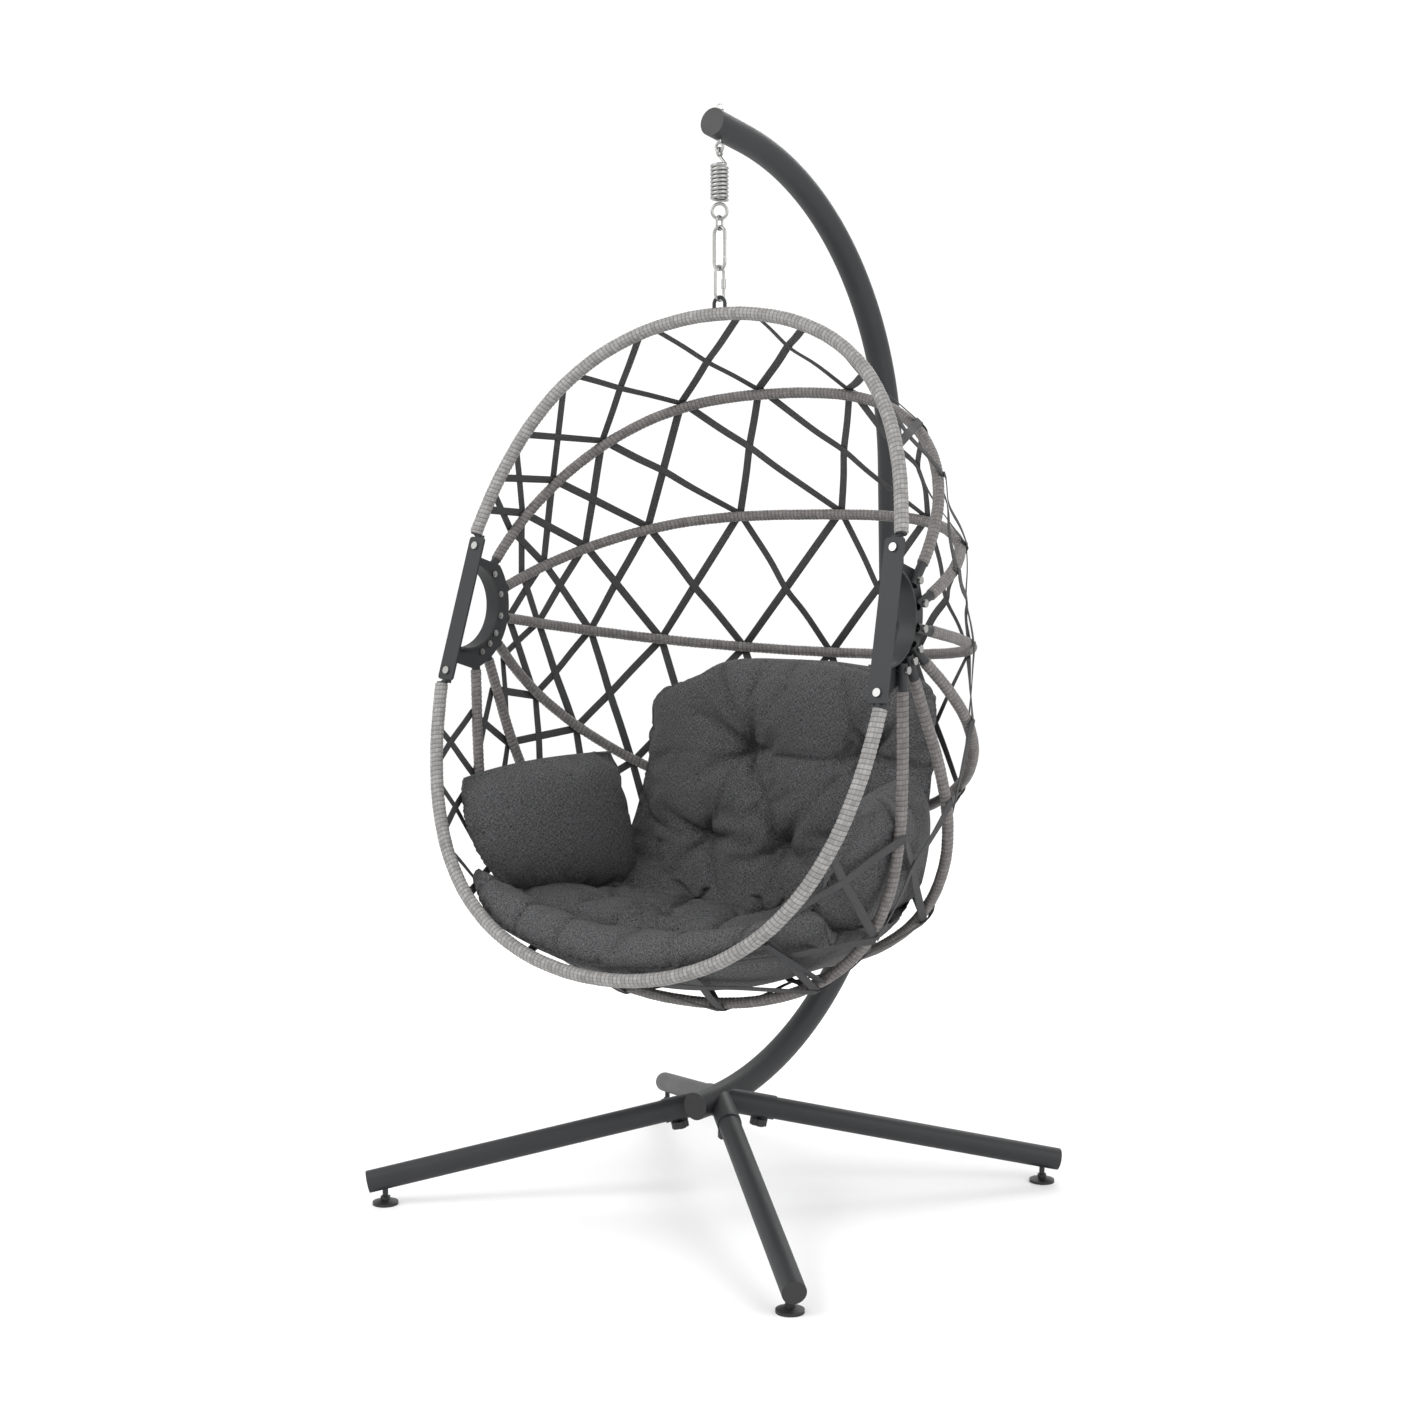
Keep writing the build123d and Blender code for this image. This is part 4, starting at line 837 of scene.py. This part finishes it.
caps[under[1:-1, 1:-1].ravel()] = REAR_CAP
stitched_down = np.concatenate([edge_of_pad, top[held_back | held_seat]])
swell(cushion, stitched_down, PAD_PRESSURE, PAD_SLACK, caps)


HEATHER = (0.008, 0.008, 0.0085), (0.150, 0.150, 0.155)
heathered = woven("heathered_grey_cloth", HEATHER, 0.0015, 0.95, 0.0003)
cushion.data.materials.append(heathered)
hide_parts("seat_back_cushion")
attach(cushion, "basket")

# The seam of the front roll is corded with a thin tube of the same cloth, sewn in along the pad's front edge.
PIPING_R = 0.0026
seam = vertices_of(cushion.data)[top[0]][2:-2]
seam_way = unit(np.gradient(seam, axis=0))
seam_side = unit(np.cross(seam_way, [0, 0, 1.0]))
seam_up = np.cross(seam_side, seam_way)
round_turn = np.linspace(0, 2 * math.pi, 10, endpoint=False)
piping_rings = seam[:, None] + PIPING_R * (
    np.cos(round_turn)[:, None] * seam_side[:, None] + np.sin(round_turn)[:, None] * seam_up[:, None])
seam_length = np.append(0, np.cumsum(np.linalg.norm(np.diff(seam, axis=0), axis=1)))
piping_faces, piping_uv = carried(piping_rings, seam_length, np.linspace(0, 2 * math.pi * PIPING_R, 11))
piping = add_object("front_roll_piping", piping_rings.reshape(-1, 3), piping_faces, piping_uv)
piping.data.materials.append(heathered)
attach(piping, "basket")

# ---------------------------------------------------------------- side bolsters
# Two loose pillows of the same cloth stand on the seat against the sides. Each is two panels sewn together,
# plump, rounder at the front corners than at the rear ones, and pressed in by the basket's wall.
BOLSTER_HALF, BOLSTER_THICK = (0.184, 0.130), 0.056
BOLSTER_AT = (0.369, -0.052 - ORIGIN_Y, 0.650)
BOLSTER_YAW, BOLSTER_LEAN = math.radians(17), math.radians(11)
BOLSTER_PRESSURE, BOLSTER_SLACK, BOLSTER_CAP = 4.0, 0.06, 0.014
REAR_TALLER, REAR_LOWER = 0.010, 0.006
ABOVE_WALL = 0.045


def within_basket(points):
    """Moves points of a pillow inwards across the basket until they stand ABOVE_WALL over the lines from
    tube to tube, as the basket's wall holds it. The wall's height is tried at distances from the middle."""
    allowed = np.full(points.shape[:-1], 0.20)
    for reach in np.linspace(0.20, 0.47, 55):
        wall = np.stack([beside(tube, reach) for tube in FLOOR_TUBES])
        clear = points[..., 2] > np.interp(points[..., 1], wall[:, 0], wall[:, 1]) + ABOVE_WALL
        allowed = np.where(clear, reach, allowed)
    held_in = points.copy()
    held_in[..., 0] = np.sign(points[..., 0]) * np.minimum(abs(points[..., 0]), allowed)
    return held_in


def bolster_sheets(side):
    """Both panels of a pillow: length and height by p and q, taller and lower at the rear, rounded off more
    at the front corners than at the rear ones, and a thickness that falls to nothing at the seam as the root
    of both distances to it."""
    p, q = np.meshgrid(np.linspace(-1, 1, 70), np.linspace(-1, 1, 54), indexing="ij")
    p, q = (0.55 * k + 0.45 * np.sin(k * math.pi / 2) for k in (p, q))
    rounding = 0.20 - 0.09 * p - 0.05 * q + 0.05 * p * q
    length = BOLSTER_HALF[0] * p * np.sqrt(1 - rounding * q ** 2) * (1 - 0.03 * q)
    height = (BOLSTER_HALF[1] + REAR_TALLER * p) * q * np.sqrt(1 - rounding * p ** 2) - REAR_LOWER * p
    thick = BOLSTER_THICK * np.sqrt(np.clip((1 - abs(p) ** 2.6) * (1 - abs(q) ** 2.6), 0, 1))
    yaw, lean = side * BOLSTER_YAW, side * BOLSTER_LEAN
    about_z = np.array([[math.cos(yaw), -math.sin(yaw), 0], [math.sin(yaw), math.cos(yaw), 0], [0, 0, 1]])
    about_y = np.array([[math.cos(lean), 0, math.sin(lean)], [0, 1, 0],
                        [-math.sin(lean), 0, math.cos(lean)]])
    turn = about_y @ about_z
    centre = np.array([side * BOLSTER_AT[0], BOLSTER_AT[1], BOLSTER_AT[2]])
    return [np.stack([sign * thick, length, height], -1) @ turn.T + centre for sign in (1, -1)]


for side, name in ((-1, "left"), (1, "right")):
    pillow, top, under = pad_object(f"bolster_{name}", *bolster_sheets(side))
    seams = np.concatenate([top[0], top[-1], top[:, 0], top[:, -1]])
    caps = np.full(len(pillow.data.vertices), BOLSTER_CAP)
    swell(pillow, seams, BOLSTER_PRESSURE, BOLSTER_SLACK, caps)
    pressed_in = within_basket(vertices_of(pillow.data)).astype(np.float32)
    pillow.data.vertices.foreach_set("co", pressed_in.ravel())
    pillow.data.update()
    pillow.data.materials.append(heathered)
    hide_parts(f"side_bolster_{name}")
    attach(pillow, "basket")

# ---------------------------------------------------------------- spring coil
# One round wire wound nine times. It opens between its upper hook and its lower loop as the chair is loaded.
COIL_WIRE_R, COIL_R, COIL_TURNS = 0.0031, 0.0134, 9
coil_low, coil_high = (np.array(corner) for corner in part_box("spring_coil"))
coil_x, coil_y = (coil_low + coil_high)[:2] / 2


def coil_rings():
    """A helix of COIL_TURNS turns with a round section, square to the wire."""
    turn = np.linspace(0, 2 * math.pi * COIL_TURNS, COIL_TURNS * 40)
    z = np.linspace(coil_low[2] + COIL_WIRE_R, coil_high[2] - COIL_WIRE_R, len(turn))
    outward = np.stack([np.cos(turn), np.sin(turn), np.zeros_like(turn)], -1)
    centre = COIL_R * outward + np.stack([np.full_like(z, coil_x), np.full_like(z, coil_y), z], -1)
    upward = np.cross(outward, unit(np.gradient(centre, axis=0)))
    round_wire = np.linspace(0, 2 * math.pi, 14, endpoint=False)
    return centre[:, None] + COIL_WIRE_R * (np.cos(round_wire)[:, None] * outward[:, None]
                                            + np.sin(round_wire)[:, None] * upward[:, None])


wire_rings = coil_rings()
wire_faces, wire_uv = carried(wire_rings, COIL_R * np.linspace(0, 2 * math.pi * COIL_TURNS, len(wire_rings)),
                              np.linspace(0, 2 * math.pi * COIL_WIRE_R, 15))
coil = add_object("stretching_coil", wire_rings.reshape(-1, 3), wire_faces, wire_uv)
coil.data.materials.append(zinc)
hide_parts("spring_coil")
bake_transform(coil)
